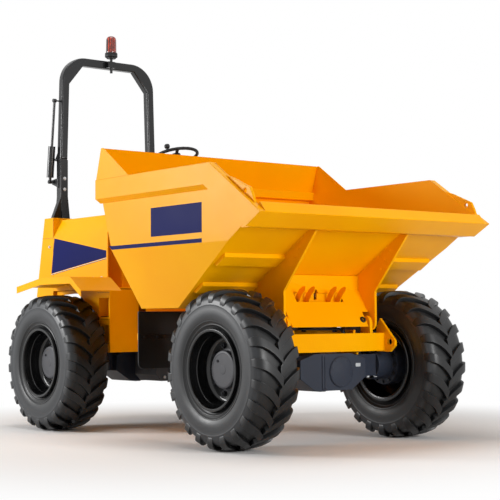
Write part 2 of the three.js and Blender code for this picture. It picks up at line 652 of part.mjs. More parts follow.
// ---------- operator's floor and steps ----------
// The footplate, the seat box on it and the engine bulkhead behind, carried by two webs on the rails.
function operatorFloor() {
  const { top, wall, front, back, seatBox } = FLOOR;
  const width = BODY_HALF_WIDTH - BODY_WALL - GAP;
  const low = top - wall;
  return join(
    plate("z", [
      [back, -width], [STEP.front, -width], [STEP.front, -STEP.inner - 2], [front, -STEP.inner - 2],
      [front, STEP.inner + 2], [STEP.front, STEP.inner + 2], [STEP.front, width], [back, width],
    ], low, top),
    cut(box([seatBox, -900], [-300, 300], [top - 2, 1560]),
      box([seatBox - 10, -912], [-288, 288], [top - 20, 1548])),
    box([back - 8, back + wall], [-534, 534], [top - 2, BONNET_SEAT - GAP]),
    box([-1200, -1188], [-RAIL.inner - RAIL.wall, RAIL.inner + RAIL.wall], [SHELF, low + 2]),
    box([-652, -640], [-RAIL.inner - RAIL.wall, RAIL.inner + RAIL.wall], [SHELF, low + 2]),
  );
}
add("operator_floor", "yellow", operatorFloor());

// Each step tower is a folded box with two treads let into its outer side, and carries the panel
// that closes the wheel arch behind it.
const ARCH_PANEL = [
  [STEP.back + 5, 1000], [STEP.back + 5, STEP.top - GAP], [-1655, STEP.top - GAP], [-1655, 1172], [-1290, 1190],
  [-1120, 1085],
];
function stepTower(side) {
  const { front, back, inner, outer, bottom, top } = STEP;
  const [near, far] = [side * (RAIL.inner + RAIL.wall + GAP), side * outer];
  const tread = (z) => box([back + 22, front - 22], [side * (outer - 175), side * (outer + 5)], [z, z + 165]);
  const shell = cut(
    box([back, front], [near, far], [bottom, top - GAP]),
    box([back - 5, front - 8], [near + side * 8, side * (outer - 185)], [bottom - 5, top - 12]),
  );
  const arch = plate("y", ARCH_PANEL, side * (outer - 12), far);
  return join(cut(shell, tread(bottom + 70), tread(bottom + 305)), arch);
}
for (const [name, side] of SIDES) add(`step_${name}`, "yellow", stepTower(side));

// ---------- body panels ----------
// A folded panel that leans in above its shoulder, and behind the fold a box corner that takes
// the roll bar's foot.
function bodySide(side) {
  const [w, t] = [BODY_HALF_WIDTH, BODY_WALL];
  const topOuter = BODY_TOP_HALF_WIDTH;
  const panel = plate("x", [
    [w, BODY_BOTTOM], [w, BODY_SHOULDER], [topOuter, BODY_TOP_FRONT], [topOuter - 40, BODY_TOP_FRONT],
    [topOuter - 40, BODY_TOP_FRONT - t], [topOuter - t, BODY_TOP_FRONT - t], [w - t, BODY_SHOULDER - 4],
    [w - t, BODY_BOTTOM],
  ].map(([y, z]) => [side * y, z]), BODY_FOLD - 5, BODY_FRONT);
  const [rearTop, rearBottom] = [BODY_REAR_TOP, BODY_REAR_BOTTOM];
  const corner = [
    [BODY_FOLD, 1165], [BODY_FOLD, BODY_TOP_REAR], rearTop, rearBottom,
  ];
  const hollow = [
    [BODY_FOLD - t, 1150], [BODY_FOLD - t, BODY_TOP_REAR - t], [rearTop[0] + t + 3, BODY_TOP_REAR - t],
    [rearBottom[0] + t + 3, 1150],
  ];
  const inner = BONNET_HALF_WIDTH + BONNET_CLEARANCE;
  return join(
    panel,
    cut(plate("y", corner, side * inner, side * w), plate("y", hollow, side * (inner - 5), side * (w - t)),
      box([BODY_FOLD - 50, BODY_FOLD + 5], [side * (inner - 5), side * (topOuter - 45)], [1150, 1862])),
  );
}
for (const [name, side] of SIDES) add(`body_side_${name}`, "yellow", bodySide(side));

function fender(side) {
  const { outer, wall, flange } = FENDER;
  const [near, far] = [side * (BODY_HALF_WIDTH + GAP), side * outer];
  return join(
    plate("y", strip(FENDER_LINE, wall), near, far),
    plate("y", strip(FENDER_LINE, flange), side * (outer - wall), far),
    box([-1150, -1110], [near, side * (outer - 60)], [1314 - 34, 1311]),
    box([-800, -760], [near, side * (outer - 60)], [1314 - 34, 1311]),
  );
}
for (const [name, side] of SIDES) add(`fender_${name}`, "yellow", fender(side));

// ---------- bonnet ----------
function bonnet() {
  const [rearTop, t] = [BODY_REAR_TOP, BODY_WALL];
  const foot = [atHeight(BODY_REAR_TOP, BODY_REAR_BOTTOM, 1200), 1200];
  const outline = [
    [BONNET_FRONT, BONNET_SEAT], [BONNET_FRONT, BONNET_SEAT + t], rearTop, foot, [foot[0] + t + 2, foot[1]],
    [rearTop[0] + t + 1, rearTop[1] - t],
  ];
  const rib = [
    [BONNET_FRONT - 40, 1872], [rearTop[0] + 8, rearTop[1] - 8], [foot[0] + 10, foot[1] + 30],
    [foot[0] + 50, foot[1] + 30], [rearTop[0] + 60, rearTop[1] - 60], [BONNET_FRONT - 40, 1840],
  ];
  return join(
    plate("y", outline, -BONNET_HALF_WIDTH, BONNET_HALF_WIDTH),
    ...SIDES.map(([, side]) => plate("y", rib, side * (BONNET_HALF_WIDTH - 60), side * (BONNET_HALF_WIDTH - 66))),
  );
}
add("bonnet", "yellow", bonnet());

// ---------- operator's place ----------
const SEAT_TOP = 1560 + GAP;
function rounded(x, y, z, radius) {
  const [a, b] = [[x[0], y[0]], [x[1], y[1]]];
  return plate("z", [
    ...arc([b[0] - radius, a[1] + radius], radius, 270, 360, 4),
    ...arc([b[0] - radius, b[1] - radius], radius, 0, 90, 4),
    ...arc([a[0] + radius, b[1] - radius], radius, 90, 180, 4),
    ...arc([a[0] + radius, a[1] + radius], radius, 180, 270, 4),
  ], ...z);
}
const SEAT = { back: -1330, front: -930, halfWidth: 170, rail: 60, cushion: 175, backTop: 2215 };
const BACKREST = [[-1300, SEAT_TOP], [-1395, 2130]]; // front face of the plate behind the backrest
add("seat_frame", "black", join(
  box([SEAT.back, SEAT.front], [-150, 150], [SEAT_TOP, SEAT_TOP + SEAT.rail]),
  plate("y", [[SEAT.back, SEAT_TOP], ...BACKREST, [BACKREST[1][0] - 15, BACKREST[1][1]]],
    -SEAT.halfWidth, SEAT.halfWidth),
));
add("seat_cushion", "vinyl", rounded([-1305, -860], [-235, 235],
  [SEAT_TOP + SEAT.rail + GAP, SEAT_TOP + SEAT.cushion], 60));

function seatBack() {
  const [low, top] = [SEAT_TOP + SEAT.cushion + 10, SEAT.backTop];
  const rear = (z) => atHeight(...BACKREST, z) + GAP * 1.4;
  return plate("y", [
    [rear(low), low], [-1240, low], [-1300, top - 65], [-1330, top], [rear(top), top],
  ], -225, 225);
}
add("seat_back", "vinyl", seatBack());

// The column leans back to the steering wheel, which turns on its end.
const WHEEL_CENTRE = [-644, 0, 2392];
const COLUMN_FOOT = [-498, 0, 1860];
const WHEEL_HUB = { below: 18, above: 22, radius: 42 };
const KNOB = [100, -155]; // forward and left of the wheel's middle, in its plane
function dashboard() {
  const low = FLOOR.top + GAP;
  return join(
    plate("y", [[-440, low], [-405, low], [-385, 1760], [-430, 1900], [-520, 1900], [-520, 1820], [-440, 1740]],
      -210, 210),
    rod(COLUMN_FOOT, pointsAlong(WHEEL_CENTRE, COLUMN_FOOT)(WHEEL_HUB.below + GAP), 32),
  );
}
add("dashboard", "black", dashboard());

const COLUMN_TILT = Math.atan2(COLUMN_FOOT[0] - WHEEL_CENTRE[0], WHEEL_CENTRE[2] - COLUMN_FOOT[2]);
function steeringWheel() {
  const ring = new THREE.TorusGeometry(190, 14, 8, 28).rotateX(Math.PI / 2);
  const spokes = [0, 120, 240].map((turn) => {
    const spoke = box([0, 184], [-6, 6], [-16, 16]);
    return spoke.rotateY(THREE.MathUtils.degToRad(turn + 30));
  });
  const knob = rod([KNOB[0], 8, -KNOB[1]], [KNOB[0], 62, -KNOB[1]], 24, 12);
  const wheel = join(ring, rod([0, -WHEEL_HUB.below, 0], [0, WHEEL_HUB.above, 0], WHEEL_HUB.radius), knob, ...spokes);
  return wheel.rotateX(Math.PI / 2).rotateY(-COLUMN_TILT).translate(...WHEEL_CENTRE);
}
add("steering_wheel", "plastic", steeringWheel());

// The lever console stands on the floor to the right of the seat.
add("control_levers", "yellow", join(
  box([-1180, -880], [-420, -318], [FLOOR.top + GAP, 1700]),
  ...[-1120, -1030, -940].map((x) => join(
    rod([x, -369, 1695], [x + 40, -369, 1880], 9, 8), rod([x + 36, -369, 1865], [x + 48, -369, 1925], 22, 12),
  )),
));

add("fuel_tank", "black", box([-1180, -985], [335, 600], [900, FLOOR.top - FLOOR.wall - GAP]));

// ---------- roll bar ----------
// A tapered foot on each body corner carries a leg up to the fold hinge.
function ropsMount(side) {
  const { x, tube, halfWidth, fold } = ROPS;
  const half = tube / 2;
  const base = BODY_TOP_REAR + GAP;
  const y = side * halfWidth;
  const footTop = ROPS_FOOT.top;
  const width = [y - side * half, y + side * half];
  const foot = join(
    plate("y", [
      [x - ROPS_FOOT.halfLength, base], [x + ROPS_FOOT.halfLength, base], [x + half, footTop], [x - half, footTop],
    ], ...width),
    plate("x", [
      [y - side * half, base], [y + side * (half + ROPS_FOOT.wide), base], [y + side * half, footTop],
      [y - side * half, footTop],
    ], x - 8, x + half),
  );
  const lug = plate("y", [
    [x - half + 4, fold - 60], [x - half + 4, fold - 10], [ROPS_HINGE[0] + 10, fold - 2],
    ...arc(ROPS_HINGE, 13, 0, 180, 6), [ROPS_HINGE[0] - 13, fold - 12],
  ], y - 20, y + 20);
  const pin = rod([ROPS_HINGE[0], y - 38, fold], [ROPS_HINGE[0], y + 38, fold], 7, 12);
  const pieces = [foot, lug, pin, box([x - half, x + half], width, [footTop - 5, fold - 5])];
  if (side * STRUT.y > 0) {
    const [sx, sz] = STRUT.base;
    pieces.push(
      plate("y", [[x, sz + 30], [sx - 20, sz + 20], [sx - 20, sz - 20], [x, sz - 60]],
        y + side * (half - 2), y + side * (half + 10)),
      rod([sx, y + side * half, sz], [sx, STRUT.y + side * STRUT.eyeRadius, sz], STRUT.pin, 24),
    );
  }
  return join(...pieces);
}
for (const [name, side] of SIDES) add(`rops_mount_${name}`, "black", ropsMount(side));

// The hoop leans its legs in a little, is round at its outer corners and straight across its inner.
function ropsHoop() {
  const { x, tube, halfWidth, topHalfWidth, fold, top, corner } = ROPS;
  const half = tube / 2;
  const [foot, head] = [halfWidth + half, topHalfWidth + half];
  const [innerFoot, innerHead, ceiling] = [halfWidth - half, topHalfWidth - half, top - tube];
  const [wide, high] = ROPS.gusset;
  const right = [[innerFoot, fold + 5], [foot, fold + 5], [head, top - corner]];
  const outline = [
    ...right, ...arc([head - corner, top - corner], corner, 0, 90, 6).slice(1),
    ...arc([corner - head, top - corner], corner, 90, 180, 6),
    [-foot, fold + 5], [-innerFoot, fold + 5], [-innerHead, ceiling - high], [wide - innerHead, ceiling],
    [innerHead - wide, ceiling], [innerHead, ceiling - high],
  ];
  const pieces = [plate("x", outline, x - half, x + half)];
  for (const [, side] of SIDES) {
    for (const edge of [-1, 1]) {
      const near = side * halfWidth + edge * 22;
      pieces.push(plate("y", [
        [x - half + 4, fold + 8], [x - half + 4, fold + 60], [ROPS_HINGE[0] - 12, fold + 10],
        ...arc(ROPS_HINGE, 13, 180, 360, 6), [ROPS_HINGE[0] + 13, fold + 6],
      ], near, near + edge * 13, [[...ROPS_HINGE, 8]]));
    }
  }
  const [ex, ez] = STRUT.eye;
  const side = Math.sign(STRUT.y);
  const skin = side * (atHeight([topHalfWidth, top - corner], [halfWidth, fold], ez) + half);
  pieces.push(
    rod([ex, skin - side * 12, ez], [ex, STRUT.y - side * (STRUT.eyeRadius - 2), ez], STRUT.pin, 24),
    box([x + half - 3, BEACON.x + 14], [-40, 40], [top - 70, top - 10]),
    rod([BEACON.x, 0, BEACON.tail], [BEACON.x, 0, BEACON.base], 13, 12),
    rod([BEACON.x, 0, BEACON.base - 12], [BEACON.x, 0, BEACON.base], 45, 16),
  );
  return join(...pieces);
}
add("rops_hoop", "black", ropsHoop());

function beacon() {
  const low = BEACON.base + GAP;
  const { radius, lens, top } = BEACON;
  return turned([
    [0, 0], [radius, 0], [radius, 34], [lens, 40], [lens, top - low - 40], [lens - 12, top - low - 14],
    [lens - 30, top - low], [0, top - low],
  ], 20).rotateX(Math.PI / 2).translate(BEACON.x, 0, low);
}
add("beacon", "lens", beacon());

// The strut that eases the hoop down: a barrel on the right leg and a rod on the hoop.
const strutStart = [STRUT.base[0], STRUT.y, STRUT.base[1]];
const strutEnd = [STRUT.eye[0], STRUT.y, STRUT.eye[1]];
add("rops_strut_barrel", "black", ramBarrel(strutStart, strutEnd, STRUT, [0, 1, 0]));
add("rops_strut_rod", "steel", ramRod(strutStart, strutEnd, STRUT, [0, 1, 0]));

export default model;
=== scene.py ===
"""Looks for a site dumper: a forward-tipping skip on a centre-pivot frame.

Metres, +X forward, +Y to the operator's left, +Z up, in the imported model's own frame. Each
sub-assembly is a class that holds its sizes and builds its pieces, and each finish is a small
class that makes one node material from what the real surface is.
"""

import json
import logging
import math
from dataclasses import dataclass, field
from enum import Enum
from typing import Any, Callable, Iterable, Mapping, Sequence

import bmesh
import bpy
from mathutils import Matrix, Vector


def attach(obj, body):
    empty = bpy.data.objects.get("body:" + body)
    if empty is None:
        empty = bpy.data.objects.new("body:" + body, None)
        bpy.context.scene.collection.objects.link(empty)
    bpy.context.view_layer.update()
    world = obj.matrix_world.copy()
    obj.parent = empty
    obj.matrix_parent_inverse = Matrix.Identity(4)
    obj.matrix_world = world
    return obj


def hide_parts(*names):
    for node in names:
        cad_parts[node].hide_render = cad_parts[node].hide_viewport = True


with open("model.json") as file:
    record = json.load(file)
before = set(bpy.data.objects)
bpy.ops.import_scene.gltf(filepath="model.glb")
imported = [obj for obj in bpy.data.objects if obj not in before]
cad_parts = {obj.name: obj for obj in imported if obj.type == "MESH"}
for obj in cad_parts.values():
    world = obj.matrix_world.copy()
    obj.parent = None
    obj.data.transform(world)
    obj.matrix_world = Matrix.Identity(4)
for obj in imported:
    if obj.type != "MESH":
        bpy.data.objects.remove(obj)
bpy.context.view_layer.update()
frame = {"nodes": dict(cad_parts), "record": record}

log = logging.getLogger("site_dumper")

Pair = tuple[float, float]
Point = tuple[float, float, float]
Shape = bmesh.types.BMesh
Tree = bpy.types.NodeTree
Socket = bpy.types.NodeSocket

MM = 0.001


class Side(Enum):
    """The operator's right or left, by the sign of Y."""

    RIGHT = -1
    LEFT = 1

    @property
    def word(self) -> str:
        """The side's word, as the frame's names spell it."""
        return self.name.lower()


class End(Enum):
    """The front or rear axle, by the sign of X."""

    FRONT = 1
    REAR = -1

    @property
    def word(self) -> str:
        """The end's word, as the frame's names spell it."""
        return self.name.lower()


class Axis(Enum):
    """The axis that a flat outline stands across, or that copies turn round."""

    X = 0
    Y = 1
    Z = 2


# ---- nodes and colours
def linear(code: str) -> tuple[float, float, float, float]:
    """Turns an sRGB hex value to a linear colour.

    Args:
        code: Six hex digits.

    Returns:
        Red, green, blue and an alpha of 1.
    """
    out = []
    for i in (0, 2, 4):
        c = int(code[i : i + 2], 16) / 255
        out.append(c / 12.92 if c <= 0.04045 else ((c + 0.055) / 1.055) ** 2.4)
    return (out[0], out[1], out[2], 1.0)


def add_node(
    tree: Tree,
    kind: str,
    inputs: Mapping[Any, Any] | None = None,
    stops: Iterable[tuple[float, str]] = (),
    **settings: Any,
) -> bpy.types.Node:
    """Adds a node with its settings, values and links.

    Args:
        tree: The tree that gets the node.
        kind: The node's Blender type.
        inputs: Values or output sockets, by the input's name or index.
        stops: A colour ramp's two stops, each a place and a hex colour.
        **settings: The node's own properties.

    Returns:
        The new node.
    """
    made = tree.nodes.new(kind)
    for name, value in settings.items():
        setattr(made, name, value)
    for i, (place, code) in enumerate(stops):
        made.color_ramp.elements[i].position = place
        made.color_ramp.elements[i].color = linear(code)
    for key, value in (inputs or {}).items():
        socket = made.inputs[key]
        if isinstance(value, Socket):
            tree.links.new(value, socket)
        else:
            socket.default_value = value
    return made


def mottled(
    tree: Tree, place: Socket, size: float, detail: float, tones: tuple[str, str], span: Pair = (0.3, 0.7)
) -> Socket:
    """Drifts between two tones in soft patches.

    Args:
        tree: The material's tree.
        place: The Object coordinates.
        size: The patches' width in metres.
        detail: How many finer layers the patches have.
        tones: Two hex colours.
        span: The part of the pattern's range that the change fills.

    Returns:
        The colour.
    """
    patches = add_node(tree, "ShaderNodeTexNoise", {"Vector": place, "Scale": 1 / size, "Detail": detail})
    ramp = add_node(tree, "ShaderNodeValToRGB", {"Fac": patches.outputs["Fac"]}, zip(span, tones))
    return ramp.outputs["Color"]


def touch(
    tree: Tree, gloss: Socket, span: Pair, height: Socket, depth: float, strength: float
) -> dict[str, Socket]:
    """Gives a surface its gloss from one pattern and its relief from another.

    Args:
        tree: The material's tree.
        gloss: The pattern behind the gloss.
        span: The roughness at the pattern's low and high ends.
        height: The pattern behind the relief.
        depth: The relief's depth in metres.
        strength: How far the relief shows, from 0 to 1.

    Returns:
        The shader's roughness and normal.
    """
    rough = add_node(tree, "ShaderNodeMapRange", {"Value": gloss, "To Min": span[0], "To Max": span[1]})
    bump = add_node(tree, "ShaderNodeBump", {"Height": height, "Distance": depth, "Strength": strength})
    return {"Roughness": rough.outputs["Result"], "Normal": bump.outputs["Normal"]}


@dataclass(frozen=True)
class Finish:
    """A real surface, named for what it is and how it was made."""

    name: str

    def surface(self, tree: Tree, place: Socket) -> dict[str, Any]:
        """Gives the shader's inputs.

        Args:
            tree: The material's tree, which gets the patterns.
            place: The Object coordinates.

        Returns:
            Values and sockets by the input's name.
        """
        raise NotImplementedError

    def material(self) -> bpy.types.Material:
        """Builds the material.

        Returns:
            The material, with its shader linked to its output.
        """
        material = bpy.data.materials.new(self.name)
        material.use_nodes = True
        tree = material.node_tree
        tree.nodes.clear()
        place = add_node(tree, "ShaderNodeTexCoord").outputs["Object"]
        shader = add_node(tree, "ShaderNodeBsdfPrincipled", self.surface(tree, place))
        add_node(tree, "ShaderNodeOutputMaterial", {"Surface": shader.outputs[0]})
        return material


@dataclass(frozen=True)
class SprayedPaint(Finish):
    """Two-pack paint sprayed on steel plate.

    The gun leaves an orange-peel ripple of about 6 mm that breaks up reflections, and the film's
    tone drifts a little over an arm's length.
    """

    colour: str
    shade: str
    roughness: float = 0.38
    coat: float = 0.02
    specular: float = 0.2
    sheen: str = "FFFFFF"
    peel: float = 6 * MM
    drift: float = 0.7
    haze: float = 0.09
    ripple: float = 0.10

    def surface(self, tree: Tree, place: Socket) -> dict[str, Any]:
        """Gives a drifting tone, hazy gloss and the gun's ripple.

        Args:
            tree: The material's tree.
            place: The Object coordinates.

        Returns:
            The shader's inputs.
        """
        haze = add_node(tree, "ShaderNodeTexNoise", {"Vector": place, "Scale": 1 / self.haze, "Detail": 5})
        peel = add_node(tree, "ShaderNodeTexNoise", {"Vector": place, "Scale": 1 / self.peel, "Detail": 2})
        return {
            "Base Color": mottled(tree, place, self.drift, 4, (self.shade, self.colour), (0.25, 0.6)),
            **touch(
                tree, haze.outputs["Fac"], (self.roughness - 0.05, self.roughness + 0.07),
                peel.outputs["Fac"], 0.4 * MM, self.ripple,
            ),
            "Specular IOR Level": self.specular,
            "Specular Tint": linear(self.sheen),
            "Coat Weight": self.coat,
            "Coat Roughness": 0.12,
        }


@dataclass(frozen=True)
class SandCasting(Finish):
    """Cast iron with a thin coat of paint: the sand's grain, about 3 mm, shows through."""

    colour: str
    shade: str
    grain: float = 3 * MM

    def surface(self, tree: Tree, place: Socket) -> dict[str, Any]:
        """Gives a patchy tone with the sand's grain in gloss and relief.

        Args:
            tree: The material's tree.
            place: The Object coordinates.

        Returns:
            The shader's inputs.
        """
        grain = add_node(tree, "ShaderNodeTexNoise", {"Vector": place, "Scale": 1 / self.grain, "Detail": 4})
        sand = grain.outputs["Fac"]
        return {
            "Base Color": mottled(tree, place, 0.12, 5, (self.shade, self.colour)),
            **touch(tree, sand, (0.42, 0.62), sand, 0.6 * MM, 0.35),
            "Metallic": 0.1,
        }


@dataclass(frozen=True)
class MouldedRubber(Finish):
    """Cured natural rubber: near black, dull, with a dusty grain.

    A point attribute, where a mesh has one, lightens a side wall against the tread: partly dusty grey, partly a
    painted highlight towards the shoulder with painted shade near the rim.
    """

    colour: str
    dusty: str
    grain: float = 5 * MM

    def surface(self, tree: Tree, place: Socket) -> dict[str, Any]:
        """Gives black that greys in dusty patches and specks, and with the side wall's painted highlight and
        shade.

        Args:
            tree: The material's tree.
            place: The Object coordinates.

        Returns:
            The shader's inputs.
        """
        # the side wall's attribute: dusty grey that also paints its highlight and shade
        dust = add_node(tree, "ShaderNodeAttribute", attribute_name="dust").outputs["Fac"]
        patches = add_node(tree, "ShaderNodeTexNoise", {"Vector": place, "Scale": 1 / 0.11, "Detail": 6})
        specks = add_node(tree, "ShaderNodeTexNoise", {"Vector": place, "Scale": 1 / (9 * MM), "Detail": 5})
        grain = add_node(tree, "ShaderNodeTexNoise", {"Vector": place, "Scale": 1 / self.grain, "Detail": 4})
        patchy = add_node(
            tree, "ShaderNodeMapRange", {"Value": patches.outputs["Fac"], "To Min": 0.55, "To Max": 1.1}
        )
        amount = add_node(
            tree, "ShaderNodeMath", {0: dust, 1: patchy.outputs["Result"]}, operation="MULTIPLY"
        )
        speckled = add_node(
            tree, "ShaderNodeMapRange", {"Value": specks.outputs["Fac"], "To Min": -0.12, "To Max": 0.22}
        )
        total = add_node(
            tree, "ShaderNodeMath", {0: amount.outputs[0], 1: speckled.outputs["Result"]},
            operation="ADD", use_clamp=True,
        )
        tone = add_node(
            tree, "ShaderNodeValToRGB", {"Fac": total.outputs[0]},
            ((0.05, self.colour), (0.95, self.dusty)),
        )
        return {
            "Base Color": tone.outputs["Color"],
            **touch(tree, patches.outputs["Fac"], (0.28, 0.5), grain.outputs["Fac"], 0.7 * MM, 0.3),
            "Specular IOR Level": 0.45,
        }


@dataclass(frozen=True)
class GrainedVinyl(Finish):
    """Embossed vinyl over foam: a pebbled leather grain, 3 mm cells, with a soft sheen."""

    colour: str
    shade: str
    cell: float = 3 * MM

    def surface(self, tree: Tree, place: Socket) -> dict[str, Any]:
        """Gives an even tone over pebbled cells.

        Args:
            tree: The material's tree.
            place: The Object coordinates.

        Returns:
            The shader's inputs.
        """
        cells = add_node(
            tree, "ShaderNodeTexVoronoi", {"Vector": place, "Scale": 1 / self.cell}, feature="SMOOTH_F1"
        ).outputs["Distance"]
        return {
            "Base Color": mottled(tree, place, 0.08, 4, (self.shade, self.colour)),
            **touch(tree, cells, (0.48, 0.62), cells, 0.5 * MM, 0.45),
            "Sheen Weight": 0.15,
        }


@dataclass(frozen=True)
class PlatedSteel(Finish):
    """Steel with a plating: chrome on a ground rod, or zinc or black oxide on a fastener.

    Grinding leaves fine rings, drawn at 2 mm so that they show.
    """

    colour: str
    roughness: float
    scratch: float = 2 * MM

    def surface(self, tree: Tree, place: Socket) -> dict[str, Any]:
        """Gives bare metal with fine marks in its gloss.

        Args:
            tree: The material's tree.
            place: The Object coordinates.

        Returns:
            The shader's inputs.
        """
        marks = add_node(
            tree, "ShaderNodeTexNoise", {"Vector": place, "Scale": 1 / self.scratch, "Detail": 3}
        ).outputs["Fac"]
        return {
            "Base Color": linear(self.colour),
            "Metallic": 1.0,
            **touch(tree, marks, (self.roughness * 0.7, self.roughness * 1.4), marks, 0.05 * MM, 0.1),
        }


@dataclass(frozen=True)
class MouldedPlastic(Finish):
    """Injection-moulded plastic with a spark-eroded texture of about 1.5 mm."""

    colour: str
    roughness: float = 0.45
    texture: float = 1.5 * MM

    def surface(self, tree: Tree, place: Socket) -> dict[str, Any]:
        """Gives one colour with fine pits that dull it.

        Args:
            tree: The material's tree.
            place: The Object coordinates.

        Returns:
            The shader's inputs.
        """
        pits = add_node(
            tree, "ShaderNodeTexNoise", {"Vector": place, "Scale": 1 / self.texture, "Detail": 2}
        ).outputs["Fac"]
        return {
            "Base Color": linear(self.colour),
            "Specular IOR Level": 0.35,
            **touch(tree, pits, (self.roughness - 0.05, self.roughness + 0.08), pits, 0.2 * MM, 0.2),
        }


@dataclass(frozen=True)
class PrismLens(Finish):
    """A tinted acrylic lens: upright flutes inside it catch the light, painted into its colour as bright bars
    of highlight over its dark tint.
    """

    bright: str
    dark: str
    flutes: float = 26.0

    def surface(self, tree: Tree, place: Socket) -> dict[str, Any]:
        """Gives painted highlights, bright bars over the dark tint, under a smooth skin.

        Args:
            tree: The material's tree.
            place: The Object coordinates.

        Returns:
            The shader's inputs.
        """
        bars = add_node(
            tree, "ShaderNodeTexWave", {"Vector": place, "Scale": self.flutes, "Distortion": 1.5},
            bands_direction="Y",
        )
        cloud = add_node(tree, "ShaderNodeTexNoise", {"Vector": place, "Scale": 1 / 0.03, "Detail": 3})
        both = add_node(
            tree, "ShaderNodeMath", {0: bars.outputs["Fac"], 1: cloud.outputs["Fac"]}, operation="MULTIPLY"
        )
        # the bright stop is painted highlight from the flutes; the dark stop is the lens's own tint
        tone = add_node(
            tree, "ShaderNodeValToRGB", {"Fac": both.outputs[0]}, ((0.1, self.dark), (0.6, self.bright))
        )
        return {
            "Base Color": tone.outputs["Color"],
            "Roughness": 0.08,
            "Coat Weight": 0.6,
            "Subsurface Weight": 0.1,
        }


@dataclass(frozen=True)
class VinylFilm(Finish):
    """Self-adhesive vinyl film: an even colour with a slightly waved gloss."""

    colour: str

    def surface(self, tree: Tree, place: Socket) -> dict[str, Any]:
        """Gives one colour with a gloss that waves over a hand's width.

        Args:
            tree: The material's tree.
            place: The Object coordinates.

        Returns:
            The shader's inputs.
        """
        wave = add_node(tree, "ShaderNodeTexNoise", {"Vector": place, "Scale": 1 / 0.25, "Detail": 2})
        rough = add_node(
            tree, "ShaderNodeMapRange", {"Value": wave.outputs["Fac"], "To Min": 0.42, "To Max": 0.54}
        )
        return {
            "Base Color": linear(self.colour),
            "Roughness": rough.outputs["Result"],
            "Specular IOR Level": 0.05,
        }


FINISHES = {
    "yellow": SprayedPaint("two_pack_paint_yellow", "FFB400", "FCA900", sheen="FFC83C"),
    "black": SprayedPaint("satin_paint_black", "101113", "0B0C0E", roughness=0.27, coat=0.15, specular=0.4),
    "rim": SprayedPaint("gloss_paint_black", "0C0D0E", "080809", roughness=0.22, coat=0.15, specular=0.4),
    "axle": SprayedPaint("satin_paint_blue_grey", "2F3542", "262B35", roughness=0.4, coat=0.05, ripple=0.2),
    "hub": SandCasting("machined_hub_iron", "4A4B50", "3E3F43"),
    "iron": SandCasting("cast_iron_grey", "3D3F44", "303237"),
    "tyre": MouldedRubber("tyre_rubber", "0A0B0C", "303337"),
    "flap": MouldedRubber("rubber_sheet", "101011", "2A2A2B"),
    "vinyl": GrainedVinyl("seat_vinyl", "1B1B1D", "131315"),
    "thread": MouldedPlastic("polyester_thread", "4A4A4E", 0.7),
    "chrome": PlatedSteel("hard_chrome", "D8D9DB", 0.12),
    "zinc": PlatedSteel("bright_zinc", "C4C6C8", 0.28),
    "plastic": MouldedPlastic("moulded_plastic_black", "121315"),
    "dark_steel": PlatedSteel("blackened_steel", "3A3B3E", 0.35),
    "grip": MouldedPlastic("soft_grip_black", "161618", 0.6),
    "knob": MouldedPlastic("phenolic_red", "8F1410", 0.3),
    "lens": PrismLens("acrylic_lens_amber_red", "D8431A", "2E0806"),
    "tail": PrismLens("acrylic_lens_red", "C01812", "5A0808", 60.0),
    "navy": VinylFilm("vinyl_film_navy", "0F175A"),
    "cream": VinylFilm("vinyl_film_cream", "F3E9C8"),
    "white": VinylFilm("vinyl_film_white", "F2F2EE"),
}
MATERIALS = {key: finish.material() for key, finish in FINISHES.items()}


# ---- mesh tools
UPRIGHT = Matrix.Rotation(math.pi / 2, 4, "X")  # stands a piece turned round Y along +Z
EDGE_LENGTHS = 2.3  # a bevel's width has to go this many times into the edges beside it


def skinned(
    shape: Shape, rings: Sequence[Sequence[bmesh.types.BMVert]], closed: bool = False, capped: bool = True
) -> Shape:
    """Joins rings of points into a skin and turns its faces outwards.

    Args:
        shape: The shape that holds the points, changed in place.
        rings: The rings in order, all of one count, or of one point as a pole.
        closed: Joins the last ring to the first, as round a torus.
        capped: Closes the first and the last ring with a face each.

    Returns:
        The same shape.
    """
    count = max(len(ring) for ring in rings)
    for a, b in list(zip(rings, rings[1:])) + ([(rings[-1], rings[0])] if closed else []):
        for i in range(count):
            j = (i + 1) % count
            corners = dict.fromkeys((a[i % len(a)], a[j % len(a)], b[j % len(b)], b[i % len(b)]))
            if len(corners) > 2:
                shape.faces.new(list(corners))
    if capped:
        shape.faces.new(rings[0])
        shape.faces.new(rings[-1])
    bmesh.ops.recalc_face_normals(shape, faces=shape.faces)
    return shape


def prism(outline: Sequence[Pair], axis: Axis, low: float, high: float) -> Shape:
    """Stands a flat outline up across an axis and gives it thickness.

    Args:
        outline: [y, z] points across X, [x, z] across Y, or [x, y] across Z.
        axis: The axis that it stands across.
        low: One end along the axis.
        high: The other end.

    Returns:
        The closed shape.
    """
    order = {Axis.X: (2, 0, 1), Axis.Y: (0, 2, 1), Axis.Z: (0, 1, 2)}[axis]
    shape = bmesh.new()
    ends = [
        [shape.verts.new([(a, b, along)[i] for i in order]) for a, b in outline] for along in (low, high)
    ]
    for end in ends:
        shape.faces.new(end)
    return skinned(shape, ends, capped=False)


def block(x: Pair, y: Pair, z: Pair) -> Shape:
    """Makes a box between two corners, whichever of its Y faces comes first."""
    near, far = sorted(y)
    return prism([(x[0], near), (x[1], near), (x[1], far), (x[0], far)], Axis.Z, *z)


